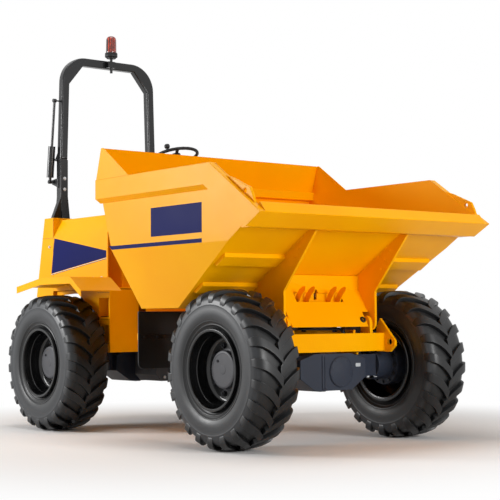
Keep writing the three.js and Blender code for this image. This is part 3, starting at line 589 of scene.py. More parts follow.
def lathe(
    profile: Sequence[Pair],
    segments: int,
    closed: bool = False,
    dust: Callable[[float, float], float] | None = None,
) -> Shape:
    """Turns a profile round the Y axis.

    Args:
        profile: (radius, y) points. A radius of 0 becomes a pole.
        segments: Steps round the axis.
        closed: Joins the last point to the first, as for a ring.
        dust: Gives each point's share of dusty grey and painted light from its radius and y.

    Returns:
        The closed shape.
    """
    shape = bmesh.new()
    layer = shape.verts.layers.float.new("dust") if dust else None
    rings = []
    for radius, y in profile:
        steps = 1 if radius < 1e-6 else segments
        ring = []
        for i in range(steps):
            turn = 2 * math.pi * i / segments
            vert = shape.verts.new((radius * math.cos(turn), y, radius * math.sin(turn)))
            if layer is not None and dust:
                vert[layer] = dust(radius, y)
            ring.append(vert)
        rings.append(ring)
    return skinned(shape, rings, closed, capped=False)


def tube(path: Sequence[Point], radius: float | Sequence[float], sides: int = 16) -> Shape:
    """Sweeps a round section along a path and closes both ends.

    Args:
        path: The points of its middle line.
        radius: One radius, or one for each point.
        sides: Corners of the section.

    Returns:
        The closed shape.
    """
    points = [Vector(p) for p in path]
    radii = [radius] * len(points) if isinstance(radius, (int, float)) else list(radius)
    shape = bmesh.new()
    rings, across = [], None
    for i, p in enumerate(points):
        ahead = (points[min(i + 1, len(points) - 1)] - points[max(i - 1, 0)]).normalized()
        if across is None:
            across = ahead.orthogonal().normalized()
        across = (across - ahead * across.dot(ahead)).normalized()
        up = ahead.cross(across)
        rings.append([
            shape.verts.new(p + (across * math.cos(t) + up * math.sin(t)) * radii[i])
            for t in (2 * math.pi * k / sides for k in range(sides))
        ])
    return skinned(shape, rings)


def arc(centre: Pair, radius: float, start: float, stop: float, steps: int = 10) -> list[Pair]:
    """Lists points on an arc, both ends included; the angles are in degrees."""
    angles = [math.radians(start + (stop - start) * i / steps) for i in range(steps + 1)]
    return [(centre[0] + radius * math.cos(a), centre[1] + radius * math.sin(a)) for a in angles]


def rounded_outline(x: Pair, y: Pair, radius: float, steps: int = 5) -> list[Pair]:
    """Lists the points of a rectangle with round corners.

    Args:
        x: Its lower and upper side along the first axis.
        y: Its lower and upper side along the second.
        radius: The corners' radius.
        steps: Steps round each corner.

    Returns:
        The outline.
    """
    return [
        *arc((x[1] - radius, y[0] + radius), radius, 270, 360, steps),
        *arc((x[1] - radius, y[1] - radius), radius, 0, 90, steps),
        *arc((x[0] + radius, y[1] - radius), radius, 90, 180, steps),
        *arc((x[0] + radius, y[0] + radius), radius, 180, 270, steps),
    ]


def together(*shapes: Shape) -> Shape:
    """Puts shapes into one.

    Args:
        *shapes: The shapes, which are freed.

    Returns:
        The new shape.
    """
    whole = bmesh.new()
    for shape in shapes:
        part = bpy.data.meshes.new("part")
        shape.to_mesh(part)
        shape.free()
        whole.from_mesh(part)
        bpy.data.meshes.remove(part)
    return whole


def placed(shape: Shape, matrix: Matrix) -> Shape:
    """Moves a shape in place and returns it."""
    bmesh.ops.transform(shape, matrix=matrix, verts=shape.verts)
    return shape


def facing(place: Point, direction: Point | Vector, own: str = "Z") -> Matrix:
    """Gives the matrix that stands a piece at a place, along a direction.

    Args:
        place: Where its origin goes.
        direction: The way that its own axis then points.
        own: That axis: Z, -Z or Y.

    Returns:
        The matrix.
    """
    other = "Z" if own == "Y" else "Y"
    return Matrix.Translation(place) @ Vector(direction).to_track_quat(own, other).to_matrix().to_4x4()


def bevelled(shape: Shape, width: float, segments: int = 2, sharper: float = 28.0) -> Shape:
    """Rounds the sharp edges that have room for it.

    Args:
        shape: The shape, changed in place.
        width: How far the rounding reaches on each face.
        segments: Steps of the rounding.
        sharper: The least angle between faces, in degrees.

    Returns:
        The same shape.
    """
    room = {v: min((e.calc_length() for e in v.link_edges), default=0) for v in shape.verts}
    edges = [
        e for e in shape.edges
        if len(e.link_faces) == 2
        and e.calc_face_angle(0) > math.radians(sharper)
        and all(room[v] > EDGE_LENGTHS * width for v in e.verts)
    ]
    bmesh.ops.bevel(
        shape, geom=edges, offset=width, offset_type="OFFSET", segments=segments, profile=0.5,
        affect="EDGES", clamp_overlap=False,
    )
    return shape


def hex_bolt(size: float, place: Point, direction: Point, washer: bool = True) -> Shape:
    """Makes a hexagon head on its washer.

    Args:
        size: The thread's diameter.
        place: The middle of the face that it is tightened on.
        direction: The way that the head stands out.
        washer: Whether it has a washer.

    Returns:
        The closed shapes.
    """
    across, depth = size * 0.9, size * 0.65
    rise = size * 0.18 if washer else 0.0
    sunk = 0.3 * MM
    shape = bmesh.new()
    rings = []
    levels = ((across, rise - sunk), (across, rise + depth * 0.8), (across * 0.8, rise + depth))
    for radius, height in levels:
        rings.append([
            shape.verts.new((radius * math.cos(turn), radius * math.sin(turn), height))
            for turn in (math.pi * k / 3 for k in range(6))
        ])
    skinned(shape, rings)
    if washer:
        disc = lathe([(0, -sunk), (size * 1.15, -sunk), (size * 1.15, rise), (0, rise)], 14)
        shape = together(shape, placed(disc, UPRIGHT))
    return placed(shape, facing(place, direction))


def link_temporary(shape: Shape, name: str) -> bpy.types.Object:
    """Turns a shape into an object for a while.

    Args:
        shape: The shape, which is freed.
        name: The object's name.

    Returns:
        The object, in the scene.
    """
    mesh = bpy.data.meshes.new(name)
    shape.to_mesh(mesh)
    shape.free()
    made = bpy.data.objects.new(name, mesh)
    bpy.context.scene.collection.objects.link(made)
    return made


def plain_shape(made: bpy.types.Object) -> Shape:
    """Takes the shape that an object's modifiers make.

    Args:
        made: The object, which is removed.

    Returns:
        The evaluated shape.
    """
    made.update_tag()
    bpy.context.view_layer.update()
    mesh = bpy.data.meshes.new_from_object(made.evaluated_get(bpy.context.evaluated_depsgraph_get()))
    made.modifiers.clear()
    bpy.data.objects.remove(made)
    shape = bmesh.new()
    shape.from_mesh(mesh)
    bpy.data.meshes.remove(mesh)
    return shape


# ---- node trees that repeat a shape
def new_tree(name: str, sockets: Sequence[tuple[str, str]]) -> tuple[Tree, bpy.types.Node]:
    """Starts a geometry tree.

    Args:
        name: The tree's name.
        sockets: Each input's name and socket type, after the geometry.

    Returns:
        The tree and its group input.
    """
    tree = bpy.data.node_groups.new(name, "GeometryNodeTree")
    tree.interface.new_socket("Geometry", in_out="INPUT", socket_type="NodeSocketGeometry")
    for label, kind in sockets:
        tree.interface.new_socket(label, in_out="INPUT", socket_type=kind)
    tree.interface.new_socket("Geometry", in_out="OUTPUT", socket_type="NodeSocketGeometry")
    return tree, add_node(tree, "NodeGroupInput")


def close_tree(tree: Tree, entry: bpy.types.Node, instances: Socket) -> Tree:
    """Ends a tree in Realize Instances and Set Material.

    Args:
        tree: The tree.
        entry: Its group input.
        instances: The copies.

    Returns:
        The tree.
    """
    real = add_node(tree, "GeometryNodeRealizeInstances", {"Geometry": instances})
    coated = add_node(
        tree, "GeometryNodeSetMaterial", {"Geometry": real.outputs[0], "Material": entry.outputs["Finish"]}
    )
    add_node(tree, "NodeGroupOutput", {0: coated.outputs[0]})
    return tree


def copies_of(tree: Tree, entry: bpy.types.Node, step: str) -> tuple[Socket, Socket]:
    """Copies the input `Count` times.

    Args:
        tree: The tree.
        entry: Its group input.
        step: The input that each copy's own number multiplies.

    Returns:
        The copies and that product.
    """
    whole = add_node(tree, "GeometryNodeGeometryToInstance", {0: entry.outputs["Geometry"]})
    many = add_node(
        tree, "GeometryNodeDuplicateElements",
        {"Geometry": whole.outputs[0], "Amount": entry.outputs["Count"]}, domain="INSTANCE",
    )
    scaled = add_node(
        tree, "ShaderNodeVectorMath",
        {0: entry.outputs[step], "Scale": many.outputs["Duplicate Index"]}, operation="SCALE",
    )
    return many.outputs["Geometry"], scaled.outputs["Vector"]


def ring_tree() -> Tree:
    """Builds the tree that repeats a shape round an axis: bolts on a circle, or lugs on a tyre.

    Returns:
        The tree.
    """
    tree, entry = new_tree("ring_of_copies", [
        ("Count", "NodeSocketInt"), ("Turn", "NodeSocketVector"), ("Pivot", "NodeSocketVector"),
        ("Finish", "NodeSocketMaterial"),
    ])
    copies, turn = copies_of(tree, entry, "Turn")
    turned = add_node(tree, "GeometryNodeRotateInstances", {
        "Instances": copies, "Rotation": turn, "Pivot Point": entry.outputs["Pivot"],
    })
    turned.inputs["Local Space"].default_value = False
    return close_tree(tree, entry, turned.outputs[0])


def row_tree() -> Tree:
    """Builds the tree that repeats a shape along a line: bolts, louvres, tread bars and ribs.

    Returns:
        The tree.
    """
    tree, entry = new_tree("row_of_copies", [
        ("Count", "NodeSocketInt"), ("Step", "NodeSocketVector"), ("Finish", "NodeSocketMaterial"),
    ])
    copies, shift = copies_of(tree, entry, "Step")
    moved = add_node(tree, "GeometryNodeTranslateInstances", {"Instances": copies, "Translation": shift})
    moved.inputs["Local Space"].default_value = False
    return close_tree(tree, entry, moved.outputs[0])


def stitch_tree() -> Tree:
    """Builds the tree that lays stitches along an edge path, each a short thread in line with it.

    Returns:
        The tree.
    """
    tree, entry = new_tree("stitched_seam", [
        ("Spacing", "NodeSocketFloat"), ("Length", "NodeSocketFloat"), ("Thread", "NodeSocketFloat"),
        ("Finish", "NodeSocketMaterial"),
    ])
    path = add_node(tree, "GeometryNodeMeshToCurve", {0: entry.outputs["Geometry"]})
    points = add_node(
        tree, "GeometryNodeCurveToPoints", {"Curve": path.outputs[0], "Length": entry.outputs["Spacing"]},
        mode="LENGTH",
    )
    stitch = add_node(tree, "GeometryNodeMeshCylinder", {
        "Vertices": 6, "Radius": entry.outputs["Thread"], "Depth": entry.outputs["Length"],
    })
    laid = add_node(tree, "GeometryNodeInstanceOnPoints", {
        "Points": points.outputs["Points"], "Instance": stitch.outputs["Mesh"],
        "Rotation": points.outputs["Rotation"],
    })
    return close_tree(tree, entry, laid.outputs[0])


RING, ROW, STITCH = ring_tree(), row_tree(), stitch_tree()


def grown(shape: Shape, tree: Tree, finish: str, **values: Any) -> Shape:
    """Runs a node tree on a shape.

    Args:
        shape: The shape that is repeated, or the path that is followed.
        tree: The tree.
        finish: The key of the finish that the tree sets.
        **values: The tree's named inputs.

    Returns:
        The realised result.
    """
    made = link_temporary(shape, "template")
    modifier = made.modifiers.new("copies", "NODES")
    modifier.node_group = tree
    for item in tree.interface.items_tree:
        if item.in_out == "INPUT" and item.name in values:
            modifier[item.identifier] = values[item.name]
        elif item.in_out == "INPUT" and item.name == "Finish":
            modifier[item.identifier] = MATERIALS[finish]
    return plain_shape(made)


def ring_of(shape: Shape, count: int, axis: Axis, pivot: Point, finish: str = "zinc") -> Shape:
    """Repeats a shape evenly round an axis through a pivot.

    Args:
        shape: The shape, which is freed.
        count: How many there are.
        axis: The axis.
        pivot: A point on it.
        finish: The key of the finish.

    Returns:
        All of them.
    """
    turn = [0.0, 0.0, 0.0]
    turn[axis.value] = 2 * math.pi / count
    return grown(shape, RING, finish, Count=count, Turn=turn, Pivot=list(pivot))


def row_of(shape: Shape, count: int, step: Point, finish: str = "zinc") -> Shape:
    """Repeats a shape along a line, a step apart."""
    return grown(shape, ROW, finish, Count=count, Step=list(step))


# ---- finished pieces
SLOTS = {row["node"]: row["material_slot"] for row in frame["record"]["subparts"]}
BODY_OF = {
    node: body for body, nodes in frame["record"]["behaviour"]["bodies"].items() for node in nodes
}


def finished(
    name: str,
    shape: Shape,
    finish: str,
    body: str,
    slot: str | None = None,
    stands_for: Iterable[str] = (),
    smooth: float = 32.0,
) -> bpy.types.Object:
    """Makes a piece: mesh, finish, shading, body and the nodes that it stands for.

    Args:
        name: The piece's name.
        shape: Its shape, which is freed.
        finish: The key of its finish.
        body: The body that it rides on.
        slot: The record's material slot, if it has one; not used.
        stands_for: The CAD nodes that it replaces.
        smooth: Edges up to this angle, in degrees, shade smooth.

    Returns:
        The finished object, at the origin.
    """
    made = link_temporary(shape, name)
    mesh = made.data
    mesh.materials.clear()
    mesh.materials.append(MATERIALS[finish])
    for polygon in mesh.polygons:
        polygon.use_smooth = True
        polygon.material_index = 0
    mesh.set_sharp_from_angle(angle=math.radians(smooth))
    weighted = made.modifiers.new("weighted", "WEIGHTED_NORMAL")
    weighted.keep_sharp = True
    bpy.context.view_layer.update()
    final = bpy.data.meshes.new_from_object(made.evaluated_get(bpy.context.evaluated_depsgraph_get()))
    made.modifiers.clear()
    made.data = final
    final.name = name
    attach(made, body)
    for node in stands_for:
        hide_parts(node)
    log.info("%s: %d faces on %s", name, len(final.polygons), body)
    return made


def node_shape(node: str) -> Shape:
    """Copies a CAD node's mesh, with its loose triangles merged into flat faces.

    Args:
        node: The CAD node.

    Returns:
        The copy.
    """
    shape = bmesh.new()
    shape.from_mesh(frame["nodes"][node].data)
    bmesh.ops.remove_doubles(shape, verts=shape.verts, dist=0.02 * MM)
    bmesh.ops.dissolve_limit(
        shape, angle_limit=math.radians(0.5), verts=shape.verts, edges=shape.edges,
        use_dissolve_boundaries=False,
    )
    return shape


def dressed(
    node: str, finish: str, width: float = 2.5 * MM, extra: Sequence[Shape] = (), smooth: float = 32.0
) -> bpy.types.Object:
    """Stands a copy of a CAD node in its place, with its edges rounded.

    Args:
        node: The CAD node.
        finish: The key of the finish.
        width: The rounding of its edges.
        extra: Shapes of the same finish that belong to the piece.
        smooth: Edges up to this angle shade smooth.

    Returns:
        The finished piece.
    """
    shape = bevelled(node_shape(node), width)
    return finished(
        f"{node}_dressed", together(shape, *extra) if extra else shape, finish, BODY_OF[node],
        SLOTS[node], [node], smooth,
    )


def bolts(name: str, body: str, *shapes: Shape, finish: str = "zinc") -> bpy.types.Object:
    """Makes one piece of several groups of fasteners."""
    return finished(name, together(*shapes), finish, body, smooth=25.0)


# ---- wheels
@dataclass
class Tyre:
    """A deep-lugged traction tyre, turned round Y with its middle plane at y = 0."""

    radius: float = 0.585
    base: float = 0.556
    half_width: float = 0.2
    bead: float = 0.2848
    lugs: int = 22
    draft: float = 0.006
    pitch_radius: float = 0.57
    segments: int = 96

    def side_profile(self) -> list[Pair]:
        """Lists the casing's outside, with the side wall's moulded rings.

        Returns:
            (radius, y) from the crown to the outboard bead.
        """
        w = self.half_width
        return [
            (self.base, 0.0), (self.base - 0.0005, 0.05), (self.base - 0.002, 0.10), (0.551, 0.134),
            (0.543, 0.158), (0.529, 0.177), (0.513, w - 0.0115), (0.497, w - 0.0065), (0.480, w - 0.0045),
            (0.476, w - 0.0022), (0.468, w - 0.0022), (0.464, w - 0.0042), (0.440, w - 0.0025),
            (0.415, w - 0.0012), (0.392, w - 0.0030), (0.372, w - 0.0075), (0.360, w - 0.0120),
            (0.357, w - 0.0090), (0.351, w - 0.0100), (0.347, w - 0.0175), (0.334, w - 0.0245),
            (0.329, w - 0.0225), (0.324, w - 0.0240), (0.3195, w - 0.030), (0.3125, w - 0.034),
            (0.304, w - 0.037), (self.bead, w - 0.05),
        ]

    def dust(self, radius: float, y: float) -> float:
        """Gives the casing's share of dusty grey, which also paints light: none on the tread and most on the
        outer flank, a painted highlight towards the shoulder and painted shade near the rim.

        Args:
            radius: The point's radius.
            y: Its distance across the tyre.

        Returns:
            Its share of dusty grey and painted light, from 0 to 1.
        """
        if abs(y) < self.half_width - 0.026 and radius > 0.5:
            return 0.0
        # painted highlight and shade: lighter towards the shoulder, darker near the rim, over the side wall's
        # dusty grey
        return 0.15 + 0.7 * min(1.0, max(0.0, (radius - 0.35) / 0.09))

    def carcass(self) -> Shape:
        """Builds the casing, hollow inside.

        Returns:
            The closed ring.
        """
        outer = self.side_profile()
        inner = [
            (0.2850, 0.118), (0.330, 0.150), (0.390, 0.174), (0.450, 0.174), (0.500, 0.158),
            (0.530, 0.10), (0.536, 0.0),
        ]
        loop = [(r, -y) for r, y in reversed(outer)] + outer[1:] + inner
        loop += [(r, -y) for r, y in reversed(inner[:-1])]
        return lathe(loop, self.segments, closed=True, dust=self.dust)

    def lug(self, hand: int) -> Shape:
        """Builds one lug, from just past the middle out over the shoulder.

        Args:
            hand: 1 for the left of the tread, -1 for the right, half a pitch further round.

        Returns:
            The closed lug, sunk into the casing.
        """
        stations = [
            # top y, top radius, base y, base radius, distance round, half width
            (-0.014, 0.5850, -0.018, 0.549, 0.000, 0.0350),
            (0.022, 0.5848, 0.022, 0.549, 0.040, 0.0350),
            (0.060, 0.5842, 0.060, 0.549, 0.076, 0.0350),
            (0.098, 0.5825, 0.098, 0.547, 0.104, 0.0355),
            (0.133, 0.5785, 0.128, 0.540, 0.124, 0.0360),
            (0.161, 0.5705, 0.150, 0.532, 0.136, 0.0365),
            (0.1790, 0.5585, 0.165, 0.521, 0.143, 0.0365),
            (0.1900, 0.5430, 0.175, 0.508, 0.148, 0.0355),
            (0.1955, 0.5250, 0.181, 0.495, 0.151, 0.0340),
            (0.1972, 0.5080, 0.184, 0.484, 0.153, 0.0320),
            (0.1965, 0.4930, 0.186, 0.476, 0.154, 0.0300),
            (0.1950, 0.4820, 0.188, 0.470, 0.155, 0.0280),
        ]
        shape = bmesh.new()
        layer = shape.verts.layers.float.new("dust")
        offset = 0.0 if hand > 0 else math.pi / self.lugs
        flank = 0.193  # past this the lug's top is side wall, and as dusty
        rings = []
        for y_top, r_top, y_base, r_base, way, half in stations:
            ring = []
            for y, r, side in (
                (y_base, r_base, -half - self.draft), (y_top, r_top, -half), (y_top, r_top, half),
                (y_base, r_base, half + self.draft),
            ):
                turn = (way + side) / self.pitch_radius + offset
                vert = shape.verts.new((r * math.cos(turn), hand * y, r * math.sin(turn)))
                vert[layer] = 0.45 if y > flank else 0.1
                ring.append(vert)
            rings.append(ring)
        skinned(shape, rings)
        top = [
            e for e in shape.edges
            if all(v not in (ring[0], ring[3]) for ring in rings for v in e.verts)
            and e.calc_face_angle(0) > math.radians(30)
        ]
        bmesh.ops.bevel(
            shape, geom=top, offset=4 * MM, offset_type="OFFSET", segments=2, profile=0.5,
            affect="EDGES", clamp_overlap=True,
        )
        return shape

    def build(self, end: End, side: Side, middle: Vector) -> None:
        """Builds one wheel's tyre.

        Args:
            end: The axle.
            side: The side.
            middle: The wheel's centre.
        """
        lugs = ring_of(together(self.lug(1), self.lug(-1)), self.lugs, Axis.Y, (0, 0, 0), "tyre")
        whole = placed(together(self.carcass(), lugs), Matrix.Translation(middle))
        node = f"tyre_{end.word}_{side.word}"
        finished(f"tread_{node}", whole, "tyre", BODY_OF[node], SLOTS[node], [node], 38)


@dataclass
class Wheel:
    """A deep-dished rim, its nuts and the planetary hub end, turned round Y with +Y outboard."""

    flange: float = 0.2985
    barrel: float = 0.2845
    edge: float = 0.19
    hub: float = 0.14
    hub_face: float = 0.083
    nuts: int = 10
    nut_circle: float = 0.182
    nut_face: float = 0.024
    segments: int = 96

    def rim(self) -> Shape:
        """Builds the barrel, its rolled flanges, the well's steps and the disc.

        Returns:
            The closed shape.
        """
        f, b, e = self.flange, self.barrel, self.edge
        return lathe([
            (0, -0.045), (0.115, -0.045), (0.140, -0.020), (0.205, 0.006), (0.2555, -0.030),
            (0.2575, -0.150), (0.262, -e + 0.003), (0.274, -e - 0.001), (f - 0.006, -e - 0.0015),
            (f, -e + 0.004), (f, -e + 0.025), (f - 0.007, -e + 0.031), (b, -0.149), (b, 0.149),
            (f - 0.007, e - 0.031), (f, e - 0.025), (f, e - 0.004), (f - 0.003, e + 0.001),
            (f - 0.010, e + 0.002), (0.279, e + 0.0005), (0.2725, e - 0.007), (0.2705, 0.158),
            (0.2660, 0.151), (0.2645, 0.128), (0.2585, 0.121), (0.2575, 0.088), (0.2510, 0.080),
            (0.2485, 0.052), (0.240, 0.036), (0.222, 0.026), (0.160, self.nut_face), (0, self.nut_face),
        ], self.segments)

    def hub_end(self) -> Shape:
        """Builds the hub's drum with its flange and a shallow recess in its face.

        Returns:
            The closed shape.
        """
        h, face = self.hub, self.hub_face
        return lathe([
            (0, 0.0236), (0.157, 0.0236), (0.157, 0.033), (0.152, 0.036), (h, 0.039), (h, face - 0.011),
            (h - 0.004, face - 0.004), (h - 0.012, face - 0.0004), (h - 0.020, face),
            (h - 0.023, face - 0.0018), (0.034, face - 0.0018), (0.032, face - 0.0004), (0.030, face),
            (0, face),
        ], 72)

    def build(self, end: End, side: Side, middle: Vector) -> None:
        """Builds one wheel.

        Args:
            end: The axle.
            side: The side.
            middle: The wheel's centre.
        """
        turn = Matrix.Rotation(math.pi if side is Side.RIGHT else 0.0, 4, "Z")
        place = Matrix.Translation(middle) @ turn
        node = f"wheel_{end.word}_{side.word}"
        body = BODY_OF[node]
        finished(f"rim_{node}", placed(self.rim(), place), "rim", body, SLOTS[node], [node], 38)
        finished(f"hub_{node}", placed(self.hub_end(), place), "hub", body, SLOTS[node], smooth=30)
        seat = (self.nut_circle, self.nut_face, 0)
        nut = hex_bolt(0.022, seat, (0, 1, 0))
        stud = placed(
            lathe([(0, 0), (0.009, 0), (0.009, 0.026), (0.007, 0.028), (0, 0.028)], 10),
            Matrix.Translation(seat),
        )
        nuts = ring_of(together(nut, stud), self.nuts, Axis.Y, (0, 0, 0))
        plug = hex_bolt(0.012, (0.062, self.hub_face - 0.0018, 0.062), (0, 1, 0), washer=False)
        bolts(f"nuts_{node}", body, placed(together(nuts, plug), place), finish="dark_steel")


@dataclass
class RunningGear:
    """The four wheels and the two driven axles."""

    wheelbase: float = 2.505
    track: float = 1.693
    cover_face: float = 0.165
    cover_at: Pair = (0.075, 0.545)
    tyre: Tyre = field(default_factory=Tyre)
    wheel: Wheel = field(default_factory=Wheel)

    def build(self) -> None:
        """Builds the wheels and dresses the axles."""
        for end in End:
            for side in Side:
                middle = Vector((
                    end.value * self.wheelbase / 2, side.value * self.track / 2, self.tyre.radius,
                ))
                self.tyre.build(end, side, middle)
                self.wheel.build(end, side, middle)
            self.axle(end)

    def axle(self, end: End) -> None:
        """Dresses one axle and gives it its bands, clamp bolts, hub bolts and a blank plate.

        Args:
            end: The axle.
        """
        node = f"{end.word}_axle"
        x, z = end.value * self.wheelbase / 2, self.tyre.radius
        dressed(node, "axle", 4 * MM, smooth=35)
        face = x + end.value * self.cover_face
        self.casing_bands(node, x, end.value)
        groups = []
        for side in Side:
            for y in (0.452, 0.532):
                under = hex_bolt(0.016, (x + end.value * 0.058, side.value * y, z - 0.085), (0, 0, -1))
                groups.append(row_of(under, 2, (-end.value * 0.116, 0, 0)))
            carrier = hex_bolt(0.014, (x, side.value * 0.669, z + 0.142), (0, -side.value, 0))
            studs = ring_of(carrier, 12, Axis.Y, (x, 0, z), "dark_steel")
            bolts(f"carrier_bolts_{node}_{side.word}", BODY_OF[node], studs, finish="dark_steel")
        bolts(f"bolts_{node}", BODY_OF[node], *groups)
        outline = rounded_outline((0.225, 0.275), (z - 0.005, z + 0.022), 0.004, 3)
        plate = prism(outline, Axis.X, *sorted((face, face + end.value * 0.0012)))
        finished(f"plate_{node}", plate, "zinc", BODY_OF[node])

    def casing_bands(self, node: str, x: float, way: int) -> None:
        """Builds the bolted flange round the casing and the shallow dome on its cover.

        Args:
            node: The axle's node.
            x: The axle's place.
            way: 1 at the front, -1 at the rear.
        """
        y, z = self.cover_at
        back, front = x - way * 0.156, x + way * 0.171
        outline = rounded_outline(tuple(sorted((back, front))), (0.399, 0.690), 0.03, 5)
        bands = [bevelled(prism(outline, Axis.Y, low, low + 0.022), 3 * MM) for low in (-0.118, -0.092)]
        profile = [
            (0, 0), (0.118, 0), (0.118, 0.006), (0.112, 0.011), (0.09, 0.014), (0.04, 0.021), (0, 0.022),
        ]
        dome = placed(lathe(profile, 48), facing((x + way * self.cover_face, y, z), (way, 0, 0)) @ UPRIGHT)
        head = hex_bolt(0.010, (x + way * 0.1708, y, z + 0.103), (way, 0, 0))
        heads = ring_of(head, 10, Axis.X, (x, y, z), "axle")
        finished(
            f"casing_{node}", together(*bands, dome, heads), "axle", BODY_OF[node], SLOTS[node], smooth=28,
        )


# ---- skip
@dataclass
class Skip:
    """The tipping skip: a folded tub with a boxed rim, a raised headboard and two legs under it."""

    half_width: float = 1.097
    crease: float = 1.503
    panel_x: Pair = (0.582, 1.237)
    panel_z: Pair = (1.578, 1.797)
    stripe_x: Pair = (-0.012, 1.236)
    stripe_z: Pair = (1.5045, 1.5345)
    film: float = 0.6 * MM
    chute_low: Pair = (0.799, 1.036)
    chute_high: Pair = (1.896, 1.7145)
    floor_half_width: float = 1.0
    leg_outer: float = 0.472
    leg_plate: float = 0.023
    web_face: float = 1.2135
    pivot: Pair = (1.34, 0.915)

    def under(self, z: float) -> float:
        """Gives x on the underside of the chute at a height."""
        (a, b), (c, d) = self.chute_low, self.chute_high
        return a + (c - a) * (z - b) / (d - b)

    def wall(self, z: float) -> float:
        """Gives the tub's half width at a height below the crease."""
        floor, width = self.chute_low[1], self.floor_half_width
        return min(self.half_width, width + (self.half_width - width) * (z - floor) / (self.crease - floor))

    def build(self) -> None:
        """Builds the skip's pieces."""
        for node, width in (("tub", 3.5), ("rim", 4), ("headboard", 3.5), ("legs", 2)):
            dressed(f"skip_{node}", "yellow", width * MM)
        self.stiffeners()
        self.films()
        self.fasteners()
        self.welds()

    def stiffeners(self) -> None:
        """Builds the hat-section ribs across the front plate, outboard of the legs."""
        ribs = []
        for low, high in ((1.345, 1.425), (1.155, 1.225)):
            a, b = Vector((self.under(low), low)), Vector((self.under(high), high))
            along = (b - a).normalized()
            out = Vector((along.y, -along.x))
            outline = [
                a + out * 0.0003, b + out * 0.0003,
                b - along * 0.018 + out * 0.026, a + along * 0.018 + out * 0.026,
            ]
            for side in Side:
                inner, outer = side.value * (self.leg_outer + 0.001), side.value * (self.wall(low) - 0.03)
                rib = prism([(p.x, p.y) for p in outline], Axis.Y, inner, outer)
                ribs.append(bevelled(rib, 3 * MM))
        finished("skip_front_ribs", together(*ribs), "yellow", "skip", SLOTS["skip_tub"])

    def films(self) -> None:
        """Lays the blank panel and the stripe on both side walls."""
        (a, b), (c, d) = self.panel_x, self.panel_z
        (e, f), (g, h) = self.stripe_x, self.stripe_z
        shapes = []
        for side in Side:
            near = side.value * (self.half_width + 0.05 * MM)
            far = side.value * (self.half_width + self.film)
            shapes.append(prism([(a, c), (b, c), (b, d), (a, d)], Axis.Y, near, far))
            shapes.append(prism([(e + 0.045, g), (f, g), (f, h), (e, h)], Axis.Y, near, far))
        finished("skip_films", together(*shapes), "navy", "skip")

    def fasteners(self) -> None:
        """Builds the pivot pins' caps, the stop's eye and the painted plugs down each leg."""
        caps, plugs = [], []
        for side in Side:
            out = side.value
            caps.append(placed(
                lathe([(0, -0.001), (0.038, -0.001), (0.038, 0.010), (0.034, 0.014), (0, 0.014)], 28),
                facing((self.pivot[0], out * (self.leg_outer + 0.012), self.pivot[1]), (0, out, 0)) @ UPRIGHT,
            ))
            for y, way in ((self.leg_outer, out), (self.leg_outer - self.leg_plate, -out)):
                plug = hex_bolt(0.009, (1.475, out * y, 1.33), (0, way, 0), washer=False)
                plugs.append(row_of(plug, 3, (0.05, 0, 0.067)))
        profile = [(0.011, 0), (0.026, 0), (0.026, 0.012), (0.023, 0.016), (0.011, 0.016)]
        stop = placed(
            lathe(profile, 24, closed=True), facing((1.362, 0.352, 0.935), (0.828, 0, 0.56)) @ UPRIGHT,
        )
        bolts("skip_pin_caps", "skip", *caps, finish="dark_steel")
        finished("skip_stop", stop, "dark_steel", "skip")
        finished("skip_leg_plugs", together(*plugs), "yellow", "skip", SLOTS["skip_legs"])

    def welds(self) -> None:
        """Lays weld beads where the legs meet the chute and where the cross plate meets the legs."""
        beads = []
        for side in Side:
            for y in (self.leg_outer + 0.002, 0.4475):
                path = []
                for i in range(40):
                    z = 1.20 + 0.36 * i / 39
                    wave = 0.6 * MM * math.sin(i * 2.1)
                    path.append((self.under(z) + 0.002, side.value * (y + wave), z - 0.003))
                beads.append(tube(path, 5 * MM, 6))
            foot = [(self.web_face, side.value * 0.4465, 1.02 + 0.235 * i / 15) for i in range(16)]
            beads.append(tube(foot, 5 * MM, 6))
        finished("skip_welds", together(*beads), "yellow", "skip", SLOTS["skip_legs"])


